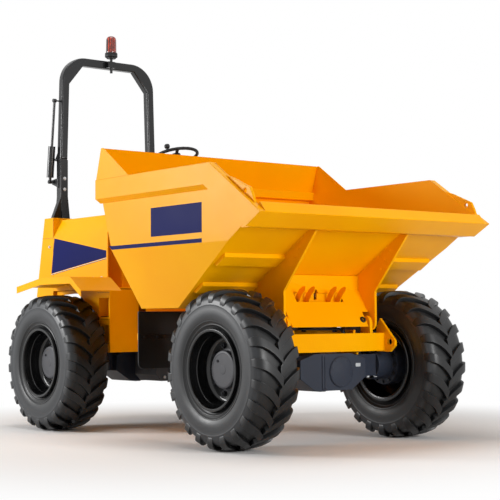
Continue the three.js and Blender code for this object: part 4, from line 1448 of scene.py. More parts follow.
# ---- frames and rams
@dataclass
class FrontFrame:
    """The front frame with its lashing beam and flaps, the tipping rams and the steering ram."""

    ram_base: Pair = (0.42, 0.76)
    ram_eye: Pair = (1.115, 1.095)
    ram_y: float = 0.185
    hose_y: float = 0.262
    hose_levels: Pair = (0.867, 0.893)

    def build(self) -> None:
        """Dresses the frame, flaps and rams, and bolts them."""
        dressed("front_chassis", "yellow", 2.5 * MM)
        for side in Side:
            self.flap(side)
            dressed(f"tip_ram_barrel_{side.word}", "black", 1.5 * MM, [self.gland(side)])
            dressed(f"tip_ram_rod_{side.word}", "chrome", 1.5 * MM)
        dressed("steer_ram_barrel", "black", 1.5 * MM)
        dressed("steer_ram_rod", "chrome", 1.5 * MM)
        nuts = []
        for side in Side:
            out = side.value
            bolt = hex_bolt(0.012, (0.256, out * 0.50, 0.817), (-1, 0, 0))
            nuts.append(row_of(bolt, 5, (0, out * 0.12, 0)))
            nuts.append(row_of(hex_bolt(0.016, (1.19, out * 0.321, 0.815), (0, out, 0)), 2, (0.12, 0, 0)))
        pin = placed(
            lathe([(0, 0), (0.048, 0), (0.048, 0.008), (0.043, 0.012), (0, 0.012)], 32),
            Matrix.Translation((0, 0, 0.935)) @ UPRIGHT,
        )
        nuts.append(ring_of(hex_bolt(0.01, (0.03, 0, 0.947), (0, 0, 1)), 3, Axis.Z, (0, 0, 0)))
        nuts.append(pin)
        bolts("front_frame_bolts", "front_frame", *nuts)
        self.hoses()

    def hoses(self) -> None:
        """Runs the ram hoses along the left rail's inner face, with a clip every 375 mm."""
        runs = []
        for z in self.hose_levels:
            path = [(0.22, z - 0.05), (0.245, z - 0.012), (0.28, z), (1.2, z), (1.228, z - 0.01)]
            path += [(1.24, z - 0.04), (1.24, 0.76)]
            runs.append(tube([(x, self.hose_y, height) for x, height in path], 11.5 * MM, 16))
        clip = bevelled(block((0.345, 0.375), (0.2745, 0.2997), (0.842, 0.91)), 1.5 * MM)
        finished("ram_hoses", together(*runs), "tyre", "front_frame")
        finished("hose_clips", row_of(clip, 3, (0.375, 0, 0), "black"), "black", "front_frame")

    def flap(self, side: Side) -> None:
        """Builds one rubber flap as a thin sheet with ribs and a clamp strip.

        Args:
            side: The side.
        """
        node = f"mud_flap_{side.word}"
        dressed(node, "flap", 2 * MM)
        out = side.value
        rib = bevelled(block((0.2936, 0.2962), (out * 0.50, out * 0.98), (0.66, 0.667)), 0.8 * MM)
        ribs = row_of(rib, 4, (0, 0, 0.026), "flap")
        finished(f"ribs_{node}", ribs, "flap", BODY_OF[node], SLOTS[node])
        strip = bevelled(block((0.3063, 0.3115), (out * 0.47, out * 1.01), (0.80, 0.835)), 1 * MM)
        head = hex_bolt(0.01, (0.3115, out * 0.50, 0.8175), (1, 0, 0), washer=False)
        heads = row_of(head, 5, (0, out * 0.12, 0))
        finished(f"clamp_{node}", strip, "black", BODY_OF[node])
        bolts(f"clamp_bolts_{node}", BODY_OF[node], heads, finish="dark_steel")

    def gland(self, side: Side) -> Shape:
        """Builds the screwed gland at a tipping ram's mouth.

        Args:
            side: The side.

        Returns:
            The gland's ring.
        """
        y = side.value * self.ram_y
        start, end = (Vector((x, y, z)) for x, z in (self.ram_base, self.ram_eye))
        axis = (end - start).normalized()
        back = 0.072 + 0.034  # from the eye to the gland's inner end
        profile = [(0.0305, 0), (0.059, 0), (0.061, 0.003), (0.061, 0.028), (0.056, 0.032), (0.0305, 0.032)]
        return placed(lathe(profile, 32, closed=True), facing(end - axis * back, axis, "Y"))


@dataclass
class RearFrame:
    """The rear frame with its engine, gearbox, tank and ballast."""

    ballast_face: float = -1.977
    shaft: Pair = (-0.66, 0.585)

    def build(self) -> None:
        """Dresses the frame and its parts."""
        dressed("rear_chassis", "yellow", 2.5 * MM)
        dressed("engine_block", "iron", 4 * MM, [self.engine_ribs()])
        dressed("gearbox", "iron", 3 * MM)
        dressed("counterweight", "yellow", 6 * MM)
        dressed("fuel_tank", "black", 8 * MM)
        groups = []
        for side in Side:
            out = side.value
            ballast = hex_bolt(0.024, (self.ballast_face, out * 0.40, 0.80), (-1, 0, 0))
            groups.append(row_of(ballast, 2, (0, 0, 0.24)))
            groups.append(row_of(hex_bolt(0.016, (-0.96, out * 0.306, 0.8856), (0, 0, 1)), 2, (0.22, 0, 0)))
        x, z = self.shaft
        for size, y, height, count in ((0.01, 0, z + 0.085, 8), (0.012, 0.12, 0.72, 2)):
            groups.append(ring_of(hex_bolt(size, (x, y, height), (1, 0, 0)), count, Axis.X, (0, 0, z)))
        bolts("rear_frame_bolts", "rear_frame", *groups)
        profile = [(0, 0), (0.1, 0), (0.1, 0.006), (0.06, 0.01), (0.05, 0.03), (0.034, 0.034), (0, 0.034)]
        forward = Matrix.Rotation(-math.pi / 2, 4, "Z")
        flange = placed(lathe(profile, 32), Matrix.Translation((x - 0.5 * MM, 0, z)) @ forward)
        finished("gearbox_flange", flange, "iron", "rear_frame", SLOTS["gearbox"])

    def engine_ribs(self) -> Shape:
        """Builds the upright ribs down both sides of the engine's casing.

        Returns:
            All the ribs.
        """
        groups = []
        for side in Side:
            y = side.value * 0.2552
            rib = bevelled(block((-1.83, -1.818), (y, y + side.value * 0.008), (0.95, 1.42)), 2 * MM)
            groups.append(row_of(rib, 8, (0.044, 0, 0), "iron"))
        return together(*groups)


# ---- body and bonnet
@dataclass
class BodyWork:
    """The folded side panels, bonnet, fenders, floor and steps, with their films and fittings."""

    half_width: float = 0.65
    film: float = 0.6 * MM
    pennant: tuple[Pair, ...] = ((-1.649, 1.695), (-0.765, 1.546), (-0.766, 1.487), (-1.703, 1.374))
    slope_top: Pair = (-1.83, 1.885)
    slope_foot: Pair = (-1.977, 1.165)
    louvres: int = 9
    pitch: float = 0.048
    step_treads: Pair = (0.742, 0.977)

    def slope(self, down: float, out: float) -> Pair:
        """Gives a place on or near the rear slope.

        Args:
            down: The distance down the slope from its top.
            out: The distance out from it.

        Returns:
            x and z.
        """
        a, b = Vector(self.slope_top), Vector(self.slope_foot)
        along = (b - a).normalized()
        place = a + along * down + Vector((along.y, -along.x)) * out
        return (place.x, place.y)

    def slope_way(self) -> Vector:
        """Gives the direction out of the rear slope."""
        (x0, z0), (x1, z1) = self.slope(0, 0), self.slope(0, 1)
        return Vector((x1 - x0, 0, z1 - z0))

    def build(self) -> None:
        """Builds the body's pieces."""
        for side in Side:
            dressed(f"body_side_{side.word}", "yellow", 4 * MM)
            dressed(f"fender_{side.word}", "yellow", 2 * MM)
            dressed(f"step_{side.word}", "yellow", 3 * MM)
        dressed("bonnet", "yellow", 4 * MM)
        dressed("operator_floor", "yellow", 3 * MM)
        self.films()
        self.seams()
        self.vents()
        self.handle()
        self.rear_lamps()
        self.treads()
        self.fasteners()

    def films(self) -> None:
        """Lays the blank pennant and the two fine lines under it on both sides."""
        navy, cream = [], []
        for side in Side:
            near = side.value * (self.half_width + 0.05 * MM)
            far = side.value * (self.half_width + self.film)
            navy.append(prism(list(self.pennant), Axis.Y, near, far))
            cream.append(prism(self.edge(3 * MM, 5.5 * MM), Axis.Y, near, far))
            navy.append(prism(self.edge(8.8 * MM, 4.5 * MM), Axis.Y, near, far))
        finished("body_pennants", together(*navy), "navy", "rear_frame")
        finished("body_pinstripes", together(*cream), "cream", "rear_frame")

    def edge(self, gap: float, depth: float) -> list[Pair]:
        """Lists a fine line that follows the pennant's lower edge.

        Args:
            gap: How far under the edge it starts.
            depth: Its own depth.

        Returns:
            Its [x, z] outline.
        """
        upper, lower = self.pennant[2:]
        lean = 0.3  # of the pennant's rear end, x against z
        return [
            (lower[0] - gap * lean, lower[1] - gap), (upper[0], upper[1] - gap),
            (upper[0], upper[1] - gap - depth), (lower[0] - (gap + depth) * lean, lower[1] - gap - depth),
        ]

    def seams(self) -> None:
        """Lays the dark lines of the panel joints at the rear corners, and dark lines along the step towers'
        folds as painted shade.
        """
        lines = []
        for side in Side:
            for face, spans in (
                (self.half_width, [((-1.868, -1.668), (1.6990, 1.7012)), ((-1.6712, -1.6690), (1.225, 1.876))]),
                # the step towers' folds: painted shade as dark lines in the creases
                (0.618, [((-0.956, -0.764), (z, z + 0.002)) for z in (0.952, 1.186)]),
            ):
                y = side.value * face
                for x, z in spans:
                    lines.append(block(x, (y + side.value * 0.1 * MM, y + side.value * 0.5 * MM), z))
        finished("panel_seams", together(*lines), "rim", "rear_frame")

    def vents(self) -> None:
        """Builds two columns of pressed louvres in the bonnet's rear slope, each over a black wedge that paints
        the shade in its slot.
        """
        p = self.slope
        blade = [
            p(0.12, 0.2 * MM), p(0.149, 0.010), p(0.1525, 0.0112), p(0.1545, 0.0104), p(0.1545, 0.2 * MM),
        ]
        # painted shade: a thin black wedge stands for the dark inside of each louvre's slot
        slot = [p(0.1546, 0.1 * MM), p(0.1546, 0.0052), p(0.161, 0.8 * MM), p(0.161, 0.1 * MM)]
        (x0, z0), (x1, z1) = p(0, 0), p(self.pitch, 0)
        step = (x1 - x0, 0.0, z1 - z0)
        blades, slot_shades = [], []
        for low, high in ((-0.34, -0.03), (0.03, 0.34)):
            pressed = bevelled(prism(blade, Axis.Y, low, high), 1 * MM)
            blades.append(row_of(pressed, self.louvres, step, "yellow"))
            slot_shades.append(row_of(prism(slot, Axis.Y, low + 0.006, high - 0.006), self.louvres, step, "rim"))
        body = BODY_OF["bonnet"]
        finished("bonnet_louvres", together(*blades), "yellow", body, SLOTS["bonnet"])
        finished("bonnet_slots", together(*slot_shades), "rim", body)

    def handle(self) -> None:
        """Builds the bonnet's bent handle on its two feet, the latch bolts and the hinge bolts."""
        body, down, half = BODY_OF["bonnet"], 0.635, 0.075
        (x0, z0), (x1, z1), (x2, z2) = (self.slope(down, out) for out in (0.001, 0.004, 0.036))
        bend = [(x1, -half, z1), (x2, -0.072, z2), (x2, -0.06, z2)]
        bend += [(x, -y, z) for x, y, z in reversed(bend)]
        feet = [
            placed(
                lathe([(0, -0.002), (0.018, -0.002), (0.018, 0.005), (0, 0.006)], 20),
                facing((x0, y, z0), self.slope_way()) @ UPRIGHT,
            )
            for y in (-half, half)
        ]
        finished("bonnet_handle", together(tube(bend, 8 * MM, 14), *feet), "plastic", body)
        x, z = self.slope(0.655, 0)
        latch = [hex_bolt(0.010, (x, y, z), self.slope_way()) for y in (-0.36, 0.36)]
        hinge = [hex_bolt(0.010, (-1.5, y, 1.882), (0, 0, 1)) for y in (-0.34, -0.26, 0.26, 0.34)]
        bolts("bonnet_bolts", body, *latch, *hinge)

    def rear_lamps(self) -> None:
        """Builds a round-cornered lamp on each rear corner, in a black bezel."""
        bezels, lenses = [], []
        for side in Side:
            x, z = self.slope(0.52, 0)
            place = facing((x, side.value * 0.548, z), self.slope_way())
            bezel = prism(rounded_outline((-0.058, 0.058), (-0.078, 0.078), 0.02), Axis.Z, -0.001, 0.016)
            bezels.append(placed(bevelled(bezel, 2 * MM), place))
            lens = prism(rounded_outline((-0.049, 0.049), (-0.069, 0.069), 0.016), Axis.Z, 0.0162, 0.034)
            lenses.append(placed(bevelled(lens, 5 * MM, 3), place))
        finished("rear_lamp_bezels", together(*bezels), "plastic", "rear_frame")
        finished("rear_lamp_lenses", together(*lenses), "tail", "rear_frame")

    def treads(self) -> None:
        """Builds the grip bars on the steps and the ribbed mat on the footplate."""
        bars = []
        for side in Side:
            for z in self.step_treads:
                outer = side.value * 0.604
                bar = block((-0.93, -0.79), (outer, outer - side.value * 0.012), (z - 0.0005, z + 0.006))
                bars.append(row_of(bevelled(bar, 1.5 * MM), 6, (0, -side.value * 0.026, 0), "black"))
        finished("step_grips", together(*bars), "black", "rear_frame")
        mat = bevelled(block((-0.885, -0.455), (-0.29, 0.29), (1.2302, 1.234)), 1.2 * MM)
        rib = bevelled(block((-0.875, -0.867), (-0.28, 0.28), (1.2339, 1.237)), 1 * MM)
        ribs = row_of(rib, 24, (0.0177, 0, 0), "flap")
        finished("floor_mat", together(mat, ribs), "flap", "rear_frame")

    def fasteners(self) -> None:
        """Bolts the fenders and the rear corners."""
        groups = []
        for side in Side:
            out = side.value
            groups.append(row_of(hex_bolt(0.010, (-1.18, out * 0.70, 1.3142), (0, 0, 1)), 4, (0.14, 0, 0)))
            groups.append(row_of(hex_bolt(0.010, (-1.04, out * 0.985, 1.3078), (0, 0, -1)), 3, (0.09, 0, 0)))
            corner = hex_bolt(0.012, (-1.735, out * self.half_width, 1.26), (0, out, 0))
            groups.append(row_of(corner, 2, (0, 0, 0.36)))
        bolts("body_bolts", "rear_frame", *groups)


# ---- the operator's place
@dataclass
class Pad:
    """A foam pad in a sewn vinyl cover: its sides pull in between corners and its face crowns."""

    node: str
    length: float
    half_width: float
    thickness: float
    place: Matrix
    corner: float = 0.06
    voxel: float = 6 * MM
    cap: float = 14 * MM
    pressure: float = 4.0
    moments: int = 20
    channels: tuple[float, ...] = (0.36, 0.66)
    channel_depth: float = 10 * MM
    channel_half: float = 13 * MM
    seam: float = 0.74
    fill: float = 0.8

    def blank(self) -> Shape:
        """Lofts the start shape, a little under size, flat beneath with round shoulders.

        Returns:
            The closed shape.
        """
        t = self.thickness
        levels = [
            # height, inset
            (0.0, 0.016), (0.008, 0.010), (t * 0.3, 0.008), (t * 0.62, 0.010), (t * 0.80, 0.018),
            (t * 0.86, 0.034),
        ]
        shape = bmesh.new()
        rings = []
        for z, inset in levels:
            outline = rounded_outline(
                (inset, self.length - inset), (inset - self.half_width, self.half_width - inset),
                self.corner - inset * 0.5, 6,
            )
            rings.append([shape.verts.new((x, y, z)) for x, y in outline])
        return skinned(shape, rings)

    def remeshed(self) -> Shape:
        """Turns the start shape into an even skin of small quads.

        Returns:
            The skin.
        """
        made = link_temporary(self.blank(), "pad_blank")
        remesh = made.modifiers.new("voxels", "REMESH")
        remesh.mode = "VOXEL"
        remesh.voxel_size = self.voxel
        return plain_shape(made)

    def swollen(self) -> Shape:
        """Inflates the skin as cloth, held where it rests, and caps how far a point may move.

        Returns:
            The swollen skin, eased.
        """
        made = link_temporary(self.remeshed(), "pad_cloth")
        rest = [v.co.copy() for v in made.data.vertices]
        held = made.vertex_groups.new(name="held")
        held.add([i for i, p in enumerate(rest) if p.z < 0.004], 1.0, "REPLACE")
        cloth = made.modifiers.new("swell", "CLOTH")
        cloth.settings.use_pressure = True
        cloth.settings.uniform_pressure_force = self.pressure
        cloth.settings.vertex_group_mass = held.name
        cloth.settings.effector_weights.gravity = 0.0
        cloth.point_cache.frame_start = 1
        cloth.point_cache.frame_end = self.moments
        scene = bpy.context.scene
        for moment in range(1, self.moments + 1):
            scene.frame_set(moment)
            bpy.context.view_layer.update()
        graph = bpy.context.evaluated_depsgraph_get()
        mesh = bpy.data.meshes.new_from_object(made.evaluated_get(graph))
        made.modifiers.clear()
        bpy.data.objects.remove(made)
        scene.frame_set(1)
        shape = bmesh.new()
        shape.from_mesh(mesh)
        bpy.data.meshes.remove(mesh)
        for vert, start in zip(shape.verts, rest):
            move = vert.co - start
            if move.length > self.cap:
                vert.co = start + move.normalized() * self.cap
            vert.co.z = max(vert.co.z, 0.0)
        bmesh.ops.smooth_vert(
            shape, verts=shape.verts, factor=0.5, use_axis_x=True, use_axis_y=True, use_axis_z=True,
        )
        return shape

    def sewn(self, shape: Shape) -> Shape:
        """Draws the face down along the channels, less towards their ends.

        Args:
            shape: The pad, changed in place.

        Returns:
            The same pad.
        """
        for vert in shape.verts:
            if vert.co.z > self.thickness * 0.5:
                for share in self.channels:
                    gap = (vert.co.x - share * self.length) / self.channel_half
                    fade = min(1.0, (self.half_width + 0.01 - abs(vert.co.y)) / 0.05)
                    vert.co.z -= self.channel_depth * math.exp(-gap * gap) * max(0.0, fade)
        return shape

    def contour(self, shape: Shape, height: float) -> list[Point]:
        """Cuts a level line round the pad.

        Args:
            shape: The pad.
            height: The line's height.

        Returns:
            Its points in order.
        """
        sliced = shape.copy()
        result = bmesh.ops.bisect_plane(
            sliced, geom=sliced.verts[:] + sliced.edges[:] + sliced.faces[:], plane_co=(0, 0, height),
            plane_no=(0, 0, 1),
        )
        points = [v.co.copy() for v in result["geom_cut"] if isinstance(v, bmesh.types.BMVert)]
        sliced.free()
        middle = Vector((self.length / 2, 0, height))
        points.sort(key=lambda p: math.atan2(p.y - middle.y, p.x - middle.x))
        return [tuple(p) for p in points]

    def welt(self, shape: Shape, height: float, radius: float) -> Shape:
        """Lays piping round the pad.

        Args:
            shape: The pad.
            height: The piping's height.
            radius: Its radius.

        Returns:
            A ring of round section.
        """
        line = [Vector(p) for p in self.contour(shape, height)]
        kept = [line[0]]
        for p in line[1:]:
            if (p - kept[-1]).length > 9 * MM:
                kept.append(p)
        count = len(kept)
        eased = [(kept[i - 1] + kept[i] * 2 + kept[(i + 1) % count]) / 4 for i in range(count)]
        ring_shape = bmesh.new()
        rings = []
        for i, p in enumerate(eased):
            ahead = (eased[(i + 1) % count] - eased[i - 1]).normalized()
            out = ahead.cross(Vector((0, 0, 1))).normalized()
            rings.append([
                ring_shape.verts.new(p + (out * math.cos(t) + Vector((0, 0, 1)) * math.sin(t)) * radius)
                for t in (2 * math.pi * k / 8 for k in range(8))
            ])
        return skinned(ring_shape, rings, closed=True, capped=False)

    def stitches(self, shape: Shape, height: float) -> Shape:
        """Lays a row of stitches round the pad.

        Args:
            shape: The pad.
            height: The row's height.

        Returns:
            The stitches.
        """
        line = self.contour(shape, height)
        path = bmesh.new()
        corners = [path.verts.new(p) for p in line[::3]]
        for a, b in zip(corners, corners[1:] + corners[:1]):
            path.edges.new((a, b))
        return grown(path, STITCH, "thread", Spacing=7.5 * MM, Length=5 * MM, Thread=0.9 * MM)

    def build(self) -> None:
        """Builds the pad, its piping and its stitches."""
        body, slot = BODY_OF[self.node], SLOTS[self.node]
        raw = self.swollen()
        shape = self.sewn(raw)
        seam = self.thickness * self.seam
        piping = together(
            self.welt(shape, seam, 3.8 * MM), self.welt(shape, self.thickness * 0.12, 3 * MM),
        )
        thread = self.stitches(shape, seam - 12 * MM)
        finished(f"{self.node}_piping", placed(piping, self.place), "vinyl", body, slot, smooth=70)
        finished(f"{self.node}_stitches", placed(thread, self.place), "thread", body, smooth=40)
        made = link_temporary(shape, "pad_fine")
        finer = made.modifiers.new("finer", "SUBSURF")
        finer.levels = finer.render_levels = 1
        shape = plain_shape(made)
        pad = finished(f"{self.node}_pad", placed(shape, self.place), "vinyl", body, slot, [self.node], 60)


@dataclass
class OperatorPlace:
    """The seat, the dashboard and its column, the wheel, the levers and the pedals."""

    wheel_centre: Point = (-0.644, 0.0, 2.392)
    column_foot: Point = (-0.498, 0.0, 1.86)
    ring: float = 0.19
    grip: float = 0.014
    hub: float = 0.042
    knob_at: Pair = (0.1, -0.155)
    dials: Pair = (-0.487, 1.90)
    lever_y: float = -0.369

    def build(self) -> None:
        """Builds everything the operator sits on or holds."""
        dressed("seat_frame", "black", 2.5 * MM)
        Pad("seat_cushion", 0.445, 0.235, 0.115, Matrix.Translation((-1.305, 0, 1.6207))).build()
        back = Matrix((
            (0.1645, 0, 0.9864, -1.4083), (0, 1, 0, 0), (-0.9864, 0, 0.1645, 2.2125), (0, 0, 0, 1),
        ))
        Pad("seat_back", 0.468, 0.225, 0.088, back, channels=(0.30, 0.62), cap=12 * MM).build()
        dressed("dashboard", "black", 3 * MM)
        dressed("control_levers", "yellow", 3 * MM)
        self.instruments()
        self.levers()
        self.pedals()
        self.steering_wheel()

    def instruments(self) -> None:
        """Builds two gauges and two small ones on the dashboard's top."""
        bezels, faces = [], []
        for y, size in ((-0.13, 0.034), (0.13, 0.034), (0.055, 0.018), (-0.055, 0.018)):
            place = Matrix.Translation((self.dials[0], y, self.dials[1])) @ UPRIGHT
            bezels.append(placed(lathe([
                (0, -0.001), (size, -0.001), (size + 0.003, 0.002), (size + 0.002, 0.007),
                (size - 0.003, 0.008), (size - 0.006, 0.004), (0, 0.004),
            ], 28), place))
            face = [(0, 0.0042), (size - 0.007, 0.0042), (size - 0.008, 0.0054), (0, 0.006)]
            faces.append(placed(lathe(face, 28), place))
        finished("dash_bezels", together(*bezels), "plastic", "rear_frame", smooth=40)
        finished("dash_dials", together(*faces), "white", "rear_frame")

    def levers(self) -> None:
        """Builds pleated gaiters at the levers' feet, their sleeves and the knobs on their ends."""
        gaiters, knobs, sleeves = [], [], []
        pleats = [(0, -0.001), (0.034, -0.001)]
        for i in range(4):
            top = 0.006 + i * 0.010
            pleats += [(0.033 - i * 0.006, top), (0.025 - i * 0.0045, top + 0.005)]
        pleats.append((0, 0.042))
        knob = [
            (0, 0), (0.013, 0), (0.016, 0.004), (0.0235, 0.018), (0.027, 0.036), (0.0258, 0.050),
            (0.020, 0.061), (0.010, 0.0665), (0, 0.068),
        ]
        y = self.lever_y
        for x in (-1.12, -1.03, -0.94):
            gaiters.append(placed(lathe(pleats, 24), Matrix.Translation((x, y, 1.7)) @ UPRIGHT))
            sleeves.append(tube([(x + 0.001, y, 1.7), (x + 0.0385, y, 1.872)], 10.5 * MM, 14))
            knobs.append(placed(lathe(knob, 24), facing((x + 0.035, y, 1.862), (12, 0, 60), "Y")))
        finished("lever_gaiters", together(*gaiters), "flap", "rear_frame", smooth=50)
        finished("lever_sleeves", together(*sleeves), "black", "rear_frame")
        finished("lever_knobs", together(*knobs), "knob", "rear_frame", smooth=60)

    def pedals(self) -> None:
        """Builds two hanging pedals with ribbed rubber pads."""
        arms, pads = [], []
        for y, half in ((-0.13, 0.028), (0.11, 0.045)):
            bend = [(-0.445, y, 1.52), (-0.475, y, 1.50), (-0.505, y, 1.42), (-0.512, y, 1.34)]
            arms.append(tube(bend, 9 * MM, 10))
            turn = facing((-0.514, y, 1.335), (-0.90, 0, 0.44)) @ Matrix.Rotation(math.pi / 2, 4, "Z")
            plate = prism(rounded_outline((-0.042, 0.042), (-half, half), 0.01), Axis.Z, 0.0, 0.008)
            rib = block((-0.034, -0.029), (-half + 0.008, half - 0.008), (0.0078, 0.0105))
            ribs = row_of(rib, 6, (0.0126, 0, 0), "flap")
            pads.append(placed(together(plate, ribs), turn))
        finished("pedal_arms", together(*arms), "black", "rear_frame")
        finished("pedal_pads", together(*pads), "flap", "rear_frame")

    def steering_wheel(self) -> None:
        """Builds the wheel: a moulded rim with finger waves, three spokes, a hub cap and a knob."""
        centre, foot = self.wheel_centre, self.column_foot
        lean = math.atan2(foot[0] - centre[0], centre[2] - foot[2])
        place = Matrix.Translation(centre) @ Matrix.Rotation(-lean, 4, "Y")
        rim = bmesh.new()
        steps, sides, waves = 96, 16, 24
        rings = []
        for i in range(steps):
            turn = 2 * math.pi * i / steps
            thick = self.grip * (1 + 0.03 * math.cos(turn * waves))
            out = Vector((math.cos(turn), math.sin(turn), 0))
            rings.append([
                rim.verts.new(out * (self.ring + thick * math.cos(t)) + Vector((0, 0, thick * math.sin(t))))
                for t in (2 * math.pi * k / sides for k in range(sides))
            ])
        skinned(rim, rings, closed=True, capped=False)
        spoke = bevelled(prism(
            [(0.03, -0.02), (0.10, -0.013), (0.184, -0.016), (0.184, 0.016), (0.10, 0.013), (0.03, 0.02)],
            Axis.Z, -0.006, 0.006,
        ), 2.5 * MM)
        spokes = placed(
            ring_of(spoke, 3, Axis.Z, (0, 0, 0), "grip"), Matrix.Rotation(math.radians(-30), 4, "Z"),
        )
        cap = placed(lathe([
            (0, -0.018), (0.036, -0.018), (self.hub, -0.010), (self.hub, 0.012), (0.038, 0.019),
            (0.030, 0.0215), (0.010, 0.0220), (0, 0.0222),
        ], 36), UPRIGHT)
        finished(
            "steering_wheel_moulding", placed(together(rim, spokes, cap), place), "grip",
            BODY_OF["steering_wheel"], SLOTS["steering_wheel"], ["steering_wheel"], 50,
        )
        knob = placed(lathe([
            (0, 0.008), (0.012, 0.008), (0.012, 0.022), (0.020, 0.026), (0.0245, 0.036), (0.0245, 0.048),
            (0.020, 0.058), (0.010, 0.0625), (0, 0.063),
        ], 28), Matrix.Translation((*self.knob_at, 0)) @ UPRIGHT)
        finished("steering_knob", placed(knob, place), "plastic", BODY_OF["steering_wheel"], smooth=60)


# ---- roll bar and beacon
@dataclass
class RollBar:
    """The folding hoop on its two mounts, its strut and the beacon on its stem."""

    x: float = -1.78
    half_tube: float = 0.038
    rounding: float = 0.014
    foot: float = 0.49
    head: float = 0.47
    fold: float = 2.44
    top: float = 3.41
    corner: float = 0.25
    gusset: Pair = (0.15, 0.185)
    hinge_x: float = -1.838
    beacon_x: float = -1.708
    stem_foot: float = 3.289
    stem_head: float = 3.44
    beacon_foot: float = 3.4403
    beacon_top: float = 3.645
    strut_y: float = -0.568
    strut_eye: Pair = (-1.79, 2.985)

    def build(self) -> None:
        """Builds the hoop, mounts, strut, beacon and the rubber pads between hoop and mounts."""
        for side in Side:
            dressed(f"rops_mount_{side.word}", "black", 3.5 * MM)
        self.hoop()
        dressed("rops_strut_barrel", "black", 1.5 * MM)
        dressed("rops_strut_rod", "black", 1 * MM)
        self.beacon()
        self.fasteners()
        x = (self.x - 0.031, self.x + 0.034)
        pads = [
            bevelled(block(x, (side.value * 0.456, side.value * 0.524), (2.4353, 2.4443)), 1 * MM)
            for side in Side
        ]
        finished("rops_fold_pads", together(*pads), "flap", "rear_frame")

    def hoop(self) -> None:
        """Builds the square tube with rounded edges, its hinge ears, bracket, stem and stub."""
        h = self.half_tube
        foot, head = self.foot + h, self.head + h
        inner_foot, inner_head, ceiling = self.foot - h, self.head - h, self.top - 2 * h
        r, (wide, high) = self.corner, self.gusset
        outline = [
            (inner_foot, self.fold + 0.005), (foot, self.fold + 0.005), (head, self.top - r),
            *arc((head - r, self.top - r), r, 0, 90, 18)[1:],
            *arc((r - head, self.top - r), r, 90, 180, 18),
            (-foot, self.fold + 0.005), (-inner_foot, self.fold + 0.005),
            (-inner_head, ceiling - high), (wide - inner_head, ceiling),
            (inner_head - wide, ceiling), (inner_head, ceiling - high),
        ]
        tube_shape = prism(outline, Axis.X, self.x - h, self.x + h)
        rim_edges = [
            e for e in tube_shape.edges
            if len(e.link_faces) == 2 and any(len(f.verts) > 8 for f in e.link_faces)
            and e.calc_face_angle(0) >= 1.0
        ]
        bmesh.ops.bevel(
            tube_shape, geom=rim_edges, offset=self.rounding, offset_type="OFFSET", segments=4, profile=0.5,
            affect="EDGES", clamp_overlap=False,
        )
        extras = []
        for side in Side:
            for edge in (-1, 1):
                near = side.value * self.foot + edge * 0.022
                ear = prism([
                    (self.x - h + 0.004, self.fold + 0.008), (self.x - h + 0.004, self.fold + 0.06),
                    (self.hinge_x - 0.012, self.fold + 0.010),
                    *arc((self.hinge_x, self.fold), 0.013, 180, 360, 12),
                    (self.hinge_x + 0.013, self.fold + 0.006),
                ], Axis.Y, *sorted((near, near + edge * 0.013)))
                extras.append(bevelled(ear, 1.2 * MM))
        ex, ez = self.strut_eye
        lean = self.head + (self.foot - self.head) * (self.top - r - ez) / (self.top - r - self.fold)
        stub = tube([(ex, -(lean + h - 0.012), ez), (ex, self.strut_y + 0.014, ez)], 0.007, 20)
        arm = bevelled(block(
            (self.x + h - 0.003, self.beacon_x + 0.014), (-0.04, 0.04), (self.top - 0.07, self.top - 0.01),
        ), 4 * MM)
        stem = tube([(self.beacon_x, 0, self.stem_foot), (self.beacon_x, 0, self.stem_head)], 13 * MM, 20)
        seat = placed(
            lathe([(0, -0.012), (0.043, -0.012), (0.045, -0.009), (0.045, -0.002), (0.043, 0), (0, 0)], 28),
            Matrix.Translation((self.beacon_x, 0, self.stem_head)) @ UPRIGHT,
        )
        finished(
            "rops_hoop_tube", together(tube_shape, *extras, stub, arm, stem, seat), "black",
            BODY_OF["rops_hoop"], SLOTS["rops_hoop"], ["rops_hoop"], 30,
        )

    def beacon(self) -> None:
        """Builds the beacon: a black base and a fluted lens, smoother towards its crown."""
        low = self.beacon_foot
        stand = Matrix.Translation((self.beacon_x, 0, low)) @ UPRIGHT
        tall = self.beacon_top - low
        base = lathe([
            (0, 0), (0.056, 0), (0.0595, 0.004), (0.060, 0.020), (0.058, 0.026), (0.060, 0.029),
            (0.060, 0.036), (0.0565, 0.042), (0.050, 0.044), (0, 0.044),
        ], 40)
        body, slot = BODY_OF["beacon"], SLOTS["beacon"]
        finished("beacon_base", placed(base, stand), "plastic", body)
        flutes, rows = 36, [
            (0.0445, 0.0485), (0.052, 0.0498), (0.085, 0.0495), (0.118, 0.0490), (tall - 0.040, 0.0480),
            (tall - 0.026, 0.0455), (tall - 0.014, 0.039), (tall - 0.006, 0.028), (tall - 0.0015, 0.014),
        ]
        dome = bmesh.new()
        rings = []
        for y, radius in rows:
            depth = 1.1 * MM if y < tall - 0.03 else 0.4 * MM
            rings.append([
                dome.verts.new((
                    (radius - depth * (k % 2)) * math.cos(math.pi * k / flutes), y,
                    (radius - depth * (k % 2)) * math.sin(math.pi * k / flutes),
                ))
                for k in range(flutes * 2)
            ])
        finished("beacon_lens", placed(skinned(dome, rings), stand), "lens", body, slot, ["beacon"], 60)

    def fasteners(self) -> None:
        """Bolts the mounts' feet to the body and caps the hinge pins."""
        groups = []
        for side in Side:
            out = side.value
            groups.append(hex_bolt(0.012, (self.hinge_x, out * (self.foot + 0.0385), self.fold), (0, out, 0)))
            toe = hex_bolt(0.014, (self.x + 0.048, out * 0.468, 1.8855), (0, 0, 1))
            groups.append(row_of(toe, 2, (0, out * 0.044, 0)))
            post = hex_bolt(0.014, (self.x + 0.0395, out * self.foot, 2.16), (1, 0, 0))
            groups.append(row_of(post, 2, (0, 0, 0.1)))
        bolts("rops_bolts", "rear_frame", *groups)


